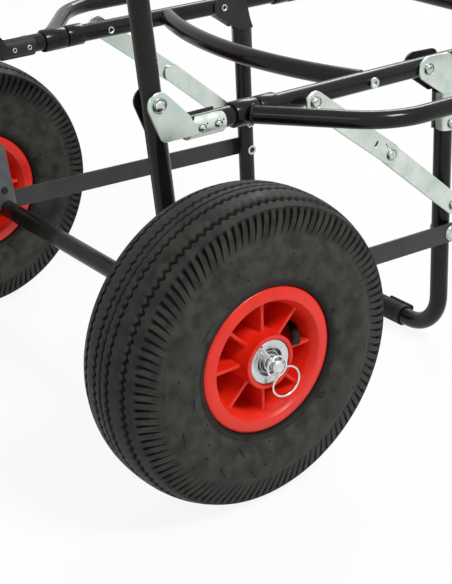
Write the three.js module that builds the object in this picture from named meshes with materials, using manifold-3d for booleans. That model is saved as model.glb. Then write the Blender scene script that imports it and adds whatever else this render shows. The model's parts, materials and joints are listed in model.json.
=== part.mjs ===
// Folding fishing trolley: two pneumatic wheels on one axle, a leaning push frame, a platform of
// tube that folds up against it, a U-shaped front leg, drag bars, two-link stays and side guards.
// X runs across the trolley, Y from the axle to the front leg, Z up from the ground. Millimetres.
import * as THREE from 'three';
import { mergeVertices } from 'three/addons/utils/BufferGeometryUtils.js';
import Module from 'manifold-3d';

const wasm = await Module();
wasm.setup();

// Driving sizes of the whole trolley
const wheelRadius = 130;
const railX = 150.5;
const wheelReach = 82.5;
const halfTrack = railX + wheelReach;
const railRise = 155;
const railHeight = wheelRadius + railRise;
const tubeRadius = 8.5;
const tubeWall = 1.5;
const seatGap = 0.3;
const cutOverrun = 4;

// Counts of facets
const tubeSides = 12;
const boltSides = 8;
const holeSides = 6;
const wheelSides = 32;
const innerTubeSides = 18;
const bendStep = THREE.MathUtils.degToRad(18);

// Main frame: two uprights that lean back, joined over the top by the push bar
const uprightPivotRise = 26;
const uprightPivotHeight = railHeight + uprightPivotRise;
const uprightPivotY = -17.5;
const frameHeight = 950;
const frameBend = 45;
const gripLength = 190;
const gripWall = 4.5;
const footPlateRise = 65;
const footPlateProud = 2;
const footBoltRise = 20;

// Platform: a U of tube, its rear ends held in the rear cheeks
const railRearY = 14;
const frontPivotY = 268.5;
const platformOverhang = 191.5;
const platformFrontY = frontPivotY + platformOverhang;
const platformBend = 45;
const crossEndY = 204;
const crossBow = 31;
const crossSteps = 10;
const crossBoltReach = 2;
const collarRadius = 10.5;
const collarLength = 18.5;
const collarGap = 1.4;

// Front leg: a U of tube with a ribbed foot sleeve on its lower bar
const legTopDrop = 15;
const legTopZ = railHeight - legTopDrop;
const legPivotReach = 30;
const legTopY = frontPivotY + legPivotReach;
const legFootKick = 6.7;
const legFootY = legTopY + legFootKick;
const legBend = 40;
const footSleeveLength = 208;
const footSleeveRadius = 10.5;
const footLipLength = 34;
const footLipHeight = 3;
const footLipThickness = 2;
const footLipDepth = 5;

// Pins of the drag bar and the stay, measured from the axle's height and the leg's line
const dragPinDrop = 9;
const dragPinAhead = 1.15;
const stayTopY = 131;
const stayLowRise = 21;
const stayLowBack = 0.57;
const stayReach = 109;
const stayRise = 2.5;
const slotShare = 0.79;

// Sheet-metal pieces
const cheekThickness = 2;
const cheekLobe = 10.5;
const cheekCorner = 7;
const flangeLength = 32;
const rivetInset = 8;
const frontLobe = 11.5;
const frontFlangeDrop = 27.3;
const frontFlangeLength = 35.7;
const frontRivetRise = 6.3;
const barThickness = 2.6;
const barHalfWidth = 9.4;
const barEyeRadius = 13.5;
const linkThickness = 2.5;
const linkHalfWidth = 9.4;
const linkGap = 0.4;

// Cheek outlines: heights and depths as shares of the tube's radius or the lobe's, and arcs in degrees
const lobeSteps = 8;
const cornerSteps = 3;
const rearArcDegrees = [42, 202, 270];
const rearWebShares = [0.55, 0.5, 1.4];
const frontArcDegrees = [80, 225];
const frontWebShares = [1.25, 0.7];
const frontTopShares = [0.4, 0.9, 0.6];

// Side guards
const guardRadius = 7.5;
const guardReach = 97.8;
const guardBend = 70;
const guardArmAngle = THREE.MathUtils.degToRad(39.7);
const guardRootY = 64.3;
const guardSleeveRadius = 10.8;
const guardSleeveLength = 24;
const guardSleeveRearY = 58;
const guardSleeveFrontReach = 91.5;
const guardSleeveFrontY = frontPivotY + guardSleeveFrontReach;
const turningGap = 0.5;

// Fasteners
const pivotShank = 4;
const pivotHeadRadius = 6.2;
const pivotHeadHeight = 3;
const rivetShank = 2.4;
const rivetHeadRadius = 3.6;
const rivetHeadHeight = 1.8;
const frontRivetHeadRadius = 4.7;
const pinShank = 3;
const pinHeadRadius = 5.4;
const pinHeadHeight = 2;
const spacerRadius = 4.9;
const dragSpacerRadius = 4.3;
const dragPinClearance = 4;
const dragHeadLap = 1;
const dragHeadHeight = 1.5;
const dragHeadRadius = pinShank + dragPinClearance + dragHeadLap;
const holeClearance = 0.8;
const domeShare = 0.62;
const socketBoltShares = [0.85, 0.4, 1.5];

// Axle
const axleRodRadius = 5;
const axleCoreRadius = 6.6;
const axleEndOffset = 50;
const rodChamfer = 1;
const cotterOffset = 43;

// Wheel: offsets are measured from the wheel's middle plane
const bearingRadius = 12;
const bearingFlangeRadius = 18.3;
const hubRim = 3.9;
const hubRadius = bearingFlangeRadius + hubRim;
const rimDish = 21.8;
const rimBarrelRadius = hubRadius + rimDish;
const rimFlangeRise = 15.2;
const rimFlangeRadius = rimBarrelRadius + rimFlangeRise;
const rimFlangeOffset = 35.8;
const rimLipRise = 6;
const rimLipRadius = rimBarrelRadius + rimLipRise;
const rimLipOffset = 37.5;
const rimBarrelWall = 3;
const rimWeb = 5;
const ribThickness = 3;
const ribOffset = 30;
const ribCount = 8;
const hubOffset = 39.5;
const hubRecess = 2.2;
const bearingFlangeThickness = 1.4;
const bearingCollarRadius = 10.9;
const bearingCollarSlope = 2;
const bearingCollarProud = 0.9;
const bushRadius = 7.4;
const tyreHalfWidth = 42;
const tyreWall = 6;
const beadGap = 0.4;
const beadLap = 0.8;
const valveAngle = THREE.MathUtils.degToRad(11);
const valveStemRadius = 3;
const valveTipRadius = 1.8;
const valveCapRadius = 3.8;
const valveBaseOffset = 9;
const valveBaseSink = 2;
const valveEndProud = 4;
const valveEndDrop = 13.5;

// Tyre and inner tube sections, as shares of the half width across and of the section's height upwards
const tyreOutsideShares = [[0, 1], [0.405, 0.987], [0.762, 0.892], [0.912, 0.618], [1, 0.464], [0.964, 0.224]];
const tyreLiningShares = [[1, 0.464], [0.912, 0.545]];
const liningCrownShares = [0, 0.844];
const airTubeShares = [0.714, 0.383, 0.375];

// Stretches of the valve's line, as shares of the way from its base to its end
const stemRoomShares = [-0.4, 0.5];
const stemShares = [-1.15, 0.55];
const tipShares = [0.5, 0.8];
const capShares = [0.6, 1];
const capBoreShares = [0, 0.85];

// Ring cotter
const wireRadius = 0.95;
const cotterLegBack = 21.5;
const cotterSmallRing = 8.5;
const cotterBigRing = 12.8;
const cotterSag = 1.2;
const cotterStart = 1.6;
const cotterRise = 4;
const cotterDrop = 4.2;
const cotterLeanAngle = THREE.MathUtils.degToRad(-58);
const cotterSteps = 16;
const cotterExitShare = 0.75;
const pullRingShare = 0.93;
const pullDropShare = 0.25;
const pullTiltShare = 0.05;

const uprightLean = uprightPivotY / (uprightPivotHeight - wheelRadius);
const legLean = (legTopY - legFootY) / (legTopZ - footSleeveRadius);
const uprightY = (z) => (z - wheelRadius) * uprightLean;
const legY = (z) => legFootY + (z - footSleeveRadius) * legLean;
const outerFace = railX + tubeRadius;
const innerFace = railX - tubeRadius;
const cheekOuterX = outerFace + seatGap;
const cheekInnerX = innerFace - seatGap - cheekThickness;
const barX = cheekOuterX + cheekThickness + seatGap;
const lowerLinkX = barX + barThickness + linkGap;
const upperLinkX = lowerLinkX + linkThickness + seatGap;
const frontFlangeTopZ = railHeight - frontFlangeDrop;
const frontFlangeBottomZ = frontFlangeTopZ - frontFlangeLength;

// Hinge points in the side view, each as [y, z]
const rearPivot = [uprightPivotY, uprightPivotHeight];
const frontPivot = [frontPivotY, railHeight];
const dragPinZ = wheelRadius - dragPinDrop;
const dragPin = [legY(dragPinZ) + dragPinAhead, dragPinZ];
const stayTopPin = [stayTopY, railHeight];
const stayLowZ = wheelRadius + stayLowRise;
const stayLowPin = [legY(stayLowZ) - stayLowBack, stayLowZ];

// Materials
const finishes = {
  black: { color: 0x2b2b29, roughness: 0.35, metalness: 0.2 },
  satin: { color: 0x464547, roughness: 0.55, metalness: 0.2 },
  zinc: { color: 0xc8d2cc, roughness: 0.35, metalness: 0.9 },
  red: { color: 0xd8281a, roughness: 0.45, metalness: 0 },
  rubber: { color: 0x333333, roughness: 0.85, metalness: 0 },
  grip: { color: 0x262626, roughness: 0.9, metalness: 0 },
};

// A path made of straight runs joined by round bends. It reports its own stations, so a long
// straight run costs one step and a bend only as many as it needs.
class StationPath extends THREE.Curve {
  constructor(points, tangents) {
    super();
    this.points = points;
    this.tangents = tangents;
  }

  getPointAt(u, target = new THREE.Vector3()) {
    return target.copy(this.points[Math.round(u * (this.points.length - 1))]);
  }

  getPoint(u, target) {
    return this.getPointAt(u, target);
  }

  getTangentAt(u, target = new THREE.Vector3()) {
    return target.copy(this.tangents[Math.round(u * (this.points.length - 1))]);
  }

  get steps() {
    return this.points.length - 1;
  }
}

// Rounds the corners of a polyline with one bend radius
function roundedPath(corners, bend) {
  const places = corners.map(([x, y, z]) => new THREE.Vector3(x, y, z));
  const first = places[1].clone().sub(places[0]).normalize();
  const points = [places[0]];
  const tangents = [first];
  for (let i = 1; i < places.length - 1; i += 1) {
    const incoming = places[i].clone().sub(places[i - 1]).normalize();
    const outgoing = places[i + 1].clone().sub(places[i]).normalize();
    const turn = incoming.angleTo(outgoing);
    const setback = bend * Math.tan(turn / 2);
    const axis = incoming.clone().cross(outgoing).normalize();
    const start = places[i].clone().addScaledVector(incoming, -setback);
    const centre = start.clone().addScaledVector(axis.clone().cross(incoming), bend);
    const count = Math.ceil(turn / bendStep);
    for (let k = 0; k <= count; k += 1) {
      const angle = (turn * k) / count;
      points.push(start.clone().sub(centre).applyAxisAngle(axis, angle).add(centre));
      tangents.push(incoming.clone().applyAxisAngle(axis, angle));
    }
  }
  points.push(places.at(-1));
  tangents.push(places.at(-1).clone().sub(places.at(-2)).normalize());
  return new StationPath(points, tangents);
}

function ring(outer, inner, sides) {
  const shape = new THREE.Shape(circlePoints(outer, sides));
  if (inner > 0) shape.holes.push(new THREE.Path(circlePoints(inner, sides).reverse()));
  return shape;
}

function circlePoints(radius, sides, start = 0, sweep = Math.PI * 2) {
  const open = sweep < Math.PI * 2;
  const count = open ? sides + 1 : sides;
  return Array.from({ length: count }, (_, i) => {
    const angle = start + (sweep * i) / sides;
    return new THREE.Vector2(radius * Math.cos(angle), radius * Math.sin(angle));
  });
}

// A tube, or a rod when inner is zero, swept along a station path
function sweep(path, outer, inner, sides = tubeSides) {
  return new THREE.ExtrudeGeometry(ring(outer, inner, sides), {
    steps: path.steps,
    extrudePath: path,
    bevelEnabled: false,
  });
}

// A flat outline in the side view, as [y, z] points, made thick across X from x0
function plate(outline, x0, thickness, holes = []) {
  const shape = new THREE.Shape(outline.map(([y, z]) => new THREE.Vector2(y, z)));
  for (const [y, z, radius] of holes) {
    const loop = circlePoints(radius, holeSides).map((p) => new THREE.Vector2(p.x + y, p.y + z));
    shape.holes.push(new THREE.Path(loop.reverse()));
  }
  const geometry = new THREE.ExtrudeGeometry(shape, { depth: thickness, bevelEnabled: false });
  // Shape x becomes world Y, shape y becomes world Z and depth becomes world X
  const turn = new THREE.Matrix4().set(0, 0, 1, x0, 1, 0, 0, 0, 0, 1, 0, 0, 0, 0, 0, 1);
  return geometry.applyMatrix4(turn);
}

// A turned piece about the X axis: profile points are [x, radius]
function turned(profile, sides = boltSides, y = 0, z = 0) {
  const points = profile.map(([x, radius]) => new THREE.Vector2(radius, x));
  const geometry = new THREE.LatheGeometry(points, sides);
  // The lathe's Y axis becomes world X
  const turn = new THREE.Matrix4().set(0, 1, 0, 0, 0, 0, 1, y, 1, 0, 0, z, 0, 0, 0, 1);
  return geometry.applyMatrix4(turn);
}

function rodX(radius, x0, x1, y, z, sides = boltSides) {
  return turned([[x0, 0], [x0, radius], [x1, radius], [x1, 0]], sides, y, z);
}

function boxBetween(x0, x1, y0, y1, z0, z1) {
  const geometry = new THREE.BoxGeometry(x1 - x0, y1 - y0, z1 - z0);
  return geometry.translate((x0 + x1) / 2, (y0 + y1) / 2, (z0 + z1) / 2);
}

// Booleans
function toSolid(geometry) {
  const bare = new THREE.BufferGeometry();
  bare.setAttribute('position', geometry.getAttribute('position').clone());
  if (geometry.index) bare.setIndex(geometry.index.clone());
  const merged = mergeVertices(bare, 1e-4);
  const places = merged.getAttribute('position').array;
  const corners = merged.index.array;
  const kept = [];
  for (let i = 0; i < corners.length; i += 3) {
    const [a, b, c] = [corners[i], corners[i + 1], corners[i + 2]];
    if (a !== b && b !== c && a !== c) kept.push(a, b, c);
  }
  const mesh = new wasm.Mesh({
    numProp: 3,
    vertProperties: new Float32Array(places),
    triVerts: new Uint32Array(kept),
  });
  return new wasm.Manifold(mesh);
}

function toGeometry(solid) {
  const mesh = solid.getMesh();
  const geometry = new THREE.BufferGeometry();
  geometry.setAttribute('position', new THREE.BufferAttribute(mesh.vertProperties.slice(), 3));
  geometry.setIndex(new THREE.BufferAttribute(mesh.triVerts.slice(), 1));
  return geometry;
}

function joined(...geometries) {
  return toGeometry(geometries.map(toSolid).reduce((sum, next) => sum.add(next)));
}

function cut(geometry, ...cutters) {
  return toGeometry(cutters.map(toSolid).reduce((rest, next) => rest.subtract(next), toSolid(geometry)));
}

// The same piece on the far side of the trolley
function mirrored(geometry) {
  const copy = geometry.index ? geometry.toNonIndexed() : geometry.clone();
  const places = copy.getAttribute('position');
  const flipped = new Float32Array(places.count * 3);
  for (let i = 0; i < places.count; i += 3) {
    [0, 2, 1].forEach((from, to) => {
      flipped[(i + to) * 3] = -places.getX(i + from);
      flipped[(i + to) * 3 + 1] = places.getY(i + from);
      flipped[(i + to) * 3 + 2] = places.getZ(i + from);
    });
  }
  const result = new THREE.BufferGeometry();
  result.setAttribute('position', new THREE.BufferAttribute(flipped, 3));
  return result;
}

const trolley = new THREE.Group();

function addTo(parent, name, geometry, finish) {
  const material = new THREE.MeshStandardMaterial(finishes[finish]);
  geometry.computeVertexNormals();
  const mesh = new THREE.Mesh(geometry, material);
  mesh.name = name;
  parent.add(mesh);
  return mesh;
}

function addPair(parent, name, geometry, finish) {
  addTo(parent, `${name}_near`, geometry, finish);
  addTo(parent, `${name}_far`, mirrored(geometry), finish);
}

// A through pin along X with a low domed head outside and a formed end inside
function throughPin([y, z], fromX, toX, shank, headRadius, headHeight, steps = []) {
  const footHeight = headHeight * domeShare;
  return turned([
    [fromX - footHeight, 0],
    [fromX - footHeight, headRadius * domeShare],
    [fromX, headRadius * domeShare],
    [fromX, shank],
    ...steps,
    [toX, shank],
    [toX, headRadius],
    [toX + headHeight * (1 - domeShare), headRadius],
    [toX + headHeight, headRadius * domeShare],
    [toX + headHeight, 0],
  ], boltSides, y, z);
}

function holeThrough([y, z], radius) {
  const reach = tubeRadius + cutOverrun;
  const near = rodX(radius, railX - reach, railX + reach, y, z, holeSides);
  return [near, mirrored(near)];
}

// Main frame and axle
function mainFrame() {
  const group = new THREE.Group();
  const bottom = [railX, 0, wheelRadius];
  const top = [railX, uprightY(frameHeight), frameHeight];
  const path = roundedPath([bottom, top, [-top[0], top[1], top[2]], [-bottom[0], 0, wheelRadius]], frameBend);
  const saddle = rodX(tubeRadius + seatGap, -halfTrack, halfTrack, 0, wheelRadius, tubeSides);
  const under = boxBetween(-halfTrack, halfTrack, -wheelRadius, wheelRadius, 0, wheelRadius);
  const frame = cut(
    sweep(path, tubeRadius, tubeRadius - tubeWall),
    saddle,
    under,
    ...holeThrough(rearPivot, pivotShank + holeClearance),
    ...holeThrough(footBoltPlace(), pinShank + holeClearance),
  );
  addTo(group, 'main_frame_tube', frame, 'black');

  const gripInner = tubeRadius + seatGap;
  const gripOuter = tubeRadius + gripWall;
  const gripEase = gripWall / 2;
  const half = gripLength / 2;
  const grip = turned([
    [-half, gripInner],
    [-half, gripOuter - gripEase],
    [-half + gripEase, gripOuter],
    [half - gripEase, gripOuter],
    [half, gripOuter - gripEase],
    [half, gripInner],
    [-half, gripInner],
  ], tubeSides, top[1], top[2]);
  addTo(group, 'push_grip', grip, 'grip');

  const axleTubeEnd = halfTrack - hubOffset - seatGap * 2;
  const axleInner = tubeRadius - tubeWall;
  const axleTube = turned([
    [-axleTubeEnd, axleInner],
    [-axleTubeEnd, tubeRadius],
    [axleTubeEnd, tubeRadius],
    [axleTubeEnd, axleInner],
    [-axleTubeEnd, axleInner],
  ], tubeSides, 0, wheelRadius);
  addTo(group, 'axle_tube', axleTube, 'black');

  const rodEnd = halfTrack + axleEndOffset;
  const rodPlain = turned([
    [-rodEnd, 0],
    [-rodEnd, axleRodRadius - rodChamfer],
    [-rodEnd + rodChamfer, axleRodRadius],
    [-axleTubeEnd, axleRodRadius],
    [-axleTubeEnd, axleCoreRadius],
    [axleTubeEnd, axleCoreRadius],
    [axleTubeEnd, axleRodRadius],
    [rodEnd - rodChamfer, axleRodRadius],
    [rodEnd, axleRodRadius - rodChamfer],
    [rodEnd, 0],
  ], tubeSides, 0, wheelRadius);
  const cotterHole = new THREE.CylinderGeometry(
    wireRadius + seatGap, wireRadius + seatGap, (axleRodRadius + cutOverrun) * 2, holeSides,
  );
  cotterHole.rotateX(cotterLeanAngle);
  cotterHole.translate(halfTrack + cotterOffset, 0, wheelRadius);
  addTo(group, 'axle_rod', cut(rodPlain, cotterHole, mirrored(cotterHole)), 'zinc');
  return group;
}

function footBoltPlace() {
  const z = wheelRadius + footBoltRise;
  return [uprightY(z), z];
}

// Zinc foot plates that bolt each upright to the axle tube
function footPlates(group) {
  const bottomZ = wheelRadius;
  const topZ = wheelRadius + footPlateRise;
  const rearEdge = (z) => uprightY(z) - tubeRadius;
  const outline = [
    [rearEdge(bottomZ), bottomZ],
    [tubeRadius + footPlateProud, bottomZ],
    [uprightY(topZ) + tubeRadius, topZ],
    [rearEdge(topZ), topZ],
  ];
  const boltPlace = footBoltPlace();
  const saddle = rodX(tubeRadius + seatGap, 0, halfTrack, 0, wheelRadius, tubeSides);
  const blank = plate(outline, cheekInnerX, cheekThickness, [[...boltPlace, pinShank + holeClearance]]);
  addPair(group, 'foot_plate', cut(blank, saddle), 'zinc');
  const bolt = throughPin(boltPlace, cheekInnerX - seatGap, outerFace + seatGap, pinShank, pinHeadRadius,
    pinHeadHeight);
  addPair(group, 'foot_plate_bolt', bolt, 'black');
}

// A half shell of sheet along a tube, outside when side is 1 and inside when side is -1
function halfFlange(side, lengthPath) {
  const inner = tubeRadius + seatGap;
  const outer = inner + cheekThickness;
  const start = side > 0 ? -Math.PI / 2 : Math.PI / 2;
  const outerArc = circlePoints(outer, tubeSides / 2, start, Math.PI - Number.EPSILON);
  const innerArc = circlePoints(inner, tubeSides / 2, start, Math.PI - Number.EPSILON).reverse();
  const shape = new THREE.Shape([...outerArc, ...innerArc]);
  const geometry = new THREE.ExtrudeGeometry(shape, { depth: lengthPath.length, bevelEnabled: false });
  return geometry.applyMatrix4(lengthPath.place);
}

// Places a half flange so that its length runs along +Y from a rail point
function alongRail(y0, length) {
  const place = new THREE.Matrix4().set(1, 0, 0, railX, 0, 0, 1, y0, 0, -1, 0, railHeight, 0, 0, 0, 1);
  return { length, place };
}

// Places a half flange so that its length runs up along the leg from a height
function alongLeg(z0, length) {
  const lean = Math.atan(-legLean);
  const place = new THREE.Matrix4()
    .makeTranslation(railX, legY(z0), z0)
    .multiply(new THREE.Matrix4().makeRotationX(lean));
  return { length, place };
}

function arcPoints([cy, cz], radius, fromDegrees, toDegrees, steps) {
  return Array.from({ length: steps + 1 }, (_, i) => {
    const angle = THREE.MathUtils.degToRad(fromDegrees + ((toDegrees - fromDegrees) * i) / steps);
    return [cy + radius * Math.cos(angle), cz + radius * Math.sin(angle)];
  });
}

// Rear cheeks: a lobe at the pivot, a flat web and a flange clamped round the rail
function rearCheek(side) {
  const flatX = side > 0 ? cheekOuterX : cheekInnerX;
  const [lowShare, midShare, highShare] = rearWebShares;
  const [lobeStart, lobeEnd, cornerEnd] = rearArcDegrees;
  const bottomZ = railHeight - tubeRadius * lowShare;
  const webFrontY = railRearY + seatGap;
  const outline = [
    ...arcPoints(rearPivot, cheekLobe, lobeStart, lobeEnd, lobeSteps),
    ...arcPoints([uprightPivotY + cheekCorner, bottomZ + cheekCorner], cheekCorner, lobeEnd, cornerEnd, cornerSteps),
    [webFrontY + cutOverrun, bottomZ],
    [webFrontY + cutOverrun, railHeight + tubeRadius * midShare],
    [webFrontY - cutOverrun, railHeight + tubeRadius * highShare],
  ];
  const web = plate(outline, flatX, cheekThickness, [[...rearPivot, pivotShank + holeClearance]]);
  const flange = halfFlange(side, alongRail(railRearY, flangeLength));
  const holes = rearRivets().map((place) => {
    const reach = tubeRadius + cutOverrun;
    return rodX(rivetShank + holeClearance, railX - reach, railX + reach, ...place, holeSides);
  });
  const boreLength = (flangeLength + cutOverrun) * 2;
  const bore = new THREE.CylinderGeometry(tubeRadius + seatGap, tubeRadius + seatGap, boreLength, tubeSides);
  bore.translate(railX, railRearY, railHeight);
  return cut(joined(web, flange), bore, ...holes);
}

function rearRivets() {
  return [rivetInset, flangeLength - rivetInset].map((along) => [railRearY + along, railHeight]);
}

// Front cheeks: pivoted on the rail and clamped round the top of the leg
function frontCheek(side) {
  const flatX = side > 0 ? cheekOuterX : cheekInnerX;
  const [lobeStart, lobeEnd] = frontArcDegrees;
  const [backShare, aheadShare] = frontWebShares;
  const [shoulderShare, crestShare, crestBackShare] = frontTopShares;
  const lineY = legY(frontFlangeTopZ);
  const rightTop = legY(railHeight);
  const outline = [
    ...arcPoints(frontPivot, frontLobe, lobeStart, lobeEnd, lobeSteps - 1),
    [lineY - tubeRadius * backShare, frontFlangeTopZ],
    [lineY + tubeRadius * aheadShare, frontFlangeTopZ],
    [lineY + tubeRadius * aheadShare, railHeight - frontLobe],
    [rightTop, railHeight + frontLobe * shoulderShare],
    [rightTop - frontLobe * crestBackShare, railHeight + frontLobe * crestShare],
  ];
  const web = plate(outline, flatX, cheekThickness, [[...frontPivot, pinShank + holeClearance]]);
  const flange = halfFlange(side, alongLeg(frontFlangeBottomZ, frontFlangeLength + cheekThickness));
  const rivet = rodX(rivetShank + holeClearance, railX - tubeRadius - cutOverrun,
    railX + tubeRadius + cutOverrun, ...frontRivet(), holeSides);
  return cut(joined(web, flange), legBore(), rivet);
}

function frontRivet() {
  const z = frontFlangeBottomZ + frontRivetRise;
  return [legY(z), z];
}

// The room that the leg tube takes, with its seat gap
function legBore() {
  const bore = new THREE.CylinderGeometry(tubeRadius + seatGap, tubeRadius + seatGap, legTopZ, tubeSides);
  bore.rotateX(Math.PI / 2);
  bore.rotateX(Math.atan(-legLean));
  return bore.translate(railX, legY(frontFlangeBottomZ), frontFlangeBottomZ);
}

// Platform: the U tube with four collars, its bowed cross tube and the rear cheeks
function platform() {
  const group = new THREE.Group();
  const corners = [
    [railX, railRearY, railHeight],
    [railX, platformFrontY, railHeight],
    [-railX, platformFrontY, railHeight],
    [-railX, railRearY, railHeight],
  ];
  const tube = sweep(roundedPath(corners, platformBend), tubeRadius, tubeRadius - tubeWall);
  const rearCollarY = guardSleeveRearY + guardSleeveLength + collarGap;
  const frontCollarY = guardSleeveFrontY - collarGap - collarLength;
  const collars = [rearCollarY, frontCollarY].flatMap((y) => {
    const collar = new THREE.CylinderGeometry(collarRadius, collarRadius, collarLength, tubeSides);
    collar.translate(railX, y + collarLength / 2, railHeight);
    return [collar, mirrored(collar)];
  });
  const boreLength = collarLength * 2;
  const bores = [rearCollarY, frontCollarY].flatMap((y) => {
    const radius = tubeRadius - tubeWall;
    const bore = new THREE.CylinderGeometry(radius, radius, boreLength, tubeSides);
    bore.translate(railX, y + collarLength / 2, railHeight);
    return [bore, mirrored(bore)];
  });
  const holes = [
    ...rearRivets().flatMap((place) => holeThrough(place, rivetShank + holeClearance)),
    ...holeThrough(stayTopPin, pinShank + holeClearance),
    ...holeThrough([crossEndY, railHeight], pinShank + holeClearance),
    ...holeThrough(frontPivot, pinShank + holeClearance),
  ];
  addTo(group, 'platform_tube', cut(joined(tube, ...collars), ...bores, ...holes), 'black');

  // Cross tube: an arc through the two rails, bowed to the rear and coped to them
  const arcRadius = (railX ** 2 + crossBow ** 2) / (2 * crossBow);
  const halfAngle = Math.asin(railX / arcRadius);
  const points = [];
  const tangents = [];
  for (let i = 0; i <= crossSteps; i += 1) {
    const angle = -halfAngle + (2 * halfAngle * i) / crossSteps;
    const centreY = crossEndY - crossBow + arcRadius;
    points.push(new THREE.Vector3(arcRadius * Math.sin(angle), centreY - arcRadius * Math.cos(angle), railHeight));
    tangents.push(new THREE.Vector3(Math.cos(angle), Math.sin(angle), 0));
  }
  const cross = sweep(new StationPath(points, tangents), tubeRadius, tubeRadius - tubeWall);
  const rail = new THREE.CylinderGeometry(tubeRadius + seatGap, tubeRadius + seatGap, crossEndY, tubeSides);
  rail.translate(railX, crossEndY, railHeight);
  const beyond = boxBetween(railX, railX * 2, 0, crossEndY * 2, 0, railHeight * 2);
  addTo(group, 'cross_tube', cut(cross, rail, mirrored(rail), beyond, mirrored(beyond)), 'black');

  const [headShare, socketShare, heightShare] = socketBoltShares;
  const boltHead = pinHeadRadius * headShare;
  const socket = pinHeadRadius * socketShare;
  const headTop = outerFace + seatGap + pinHeadHeight * heightShare;
  const crossBolt = turned([
    [innerFace - crossBoltReach, 0],
    [innerFace - crossBoltReach, pinShank],
    [outerFace + seatGap, pinShank],
    [outerFace + seatGap, boltHead],
    [headTop - seatGap, boltHead],
    [headTop, boltHead - seatGap],
    [headTop, socket],
    [headTop - pinHeadHeight, socket],
    [headTop - pinHeadHeight, 0],
  ], boltSides, crossEndY, railHeight);
  addPair(group, 'cross_bolt', crossBolt, 'zinc');

  addPair(group, 'rear_cheek_outer', rearCheek(1), 'zinc');
  addPair(group, 'rear_cheek_inner', rearCheek(-1), 'black');
  const sheetOut = cheekOuterX + cheekThickness + seatGap;
  const sheetIn = cheekInnerX - seatGap;
  rearRivets().forEach((place, i) => {
    const rivet = throughPin(place, sheetIn, sheetOut, rivetShank, rivetHeadRadius, rivetHeadHeight);
    addPair(group, `rear_rivet_${i + 1}`, rivet, 'zinc');
  });
  const pivot = throughPin(rearPivot, sheetIn, sheetOut, pivotShank, pivotHeadRadius, pivotHeadHeight);
  addPair(group, 'rear_pivot', pivot, 'zinc');
  return group;
}

// Side guard: a bent tube on two sleeves that turn on the rail
function guards(parent) {
  const rootFront = guardSleeveFrontY + guardSleeveRearY + guardSleeveLength - guardRootY;
  const cornerY = guardRootY + guardReach * Math.tan(guardArmAngle);
  const outX = railX + guardReach;
  const corners = [
    [railX, guardRootY, railHeight],
    [outX, cornerY, railHeight],
    [outX, rootFront + guardRootY - cornerY, railHeight],
    [railX, rootFront, railHeight],
  ];
  const path = roundedPath(corners, guardBend);
  const tube = sweep(path, guardRadius, 0);
  const hollow = sweep(path, guardRadius - tubeWall, 0);
  const sleeves = [guardSleeveRearY, guardSleeveFrontY].map((y) => {
    const sleeve = new THREE.CylinderGeometry(guardSleeveRadius, guardSleeveRadius, guardSleeveLength, tubeSides);
    return sleeve.translate(railX, y + guardSleeveLength / 2, railHeight);
  });
  const boreRadius = tubeRadius + turningGap;
  const bore = new THREE.CylinderGeometry(boreRadius, boreRadius, platformFrontY * 2, tubeSides);
  bore.translate(railX, platformFrontY / 2, railHeight);
  const inside = boxBetween(0, railX - guardSleeveRadius, 0, platformFrontY, railHeight - guardReach,
    railHeight + guardReach);
  addPair(parent, 'side_guard', cut(joined(tube, ...sleeves), bore, hollow, inside), 'black');
}

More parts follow.
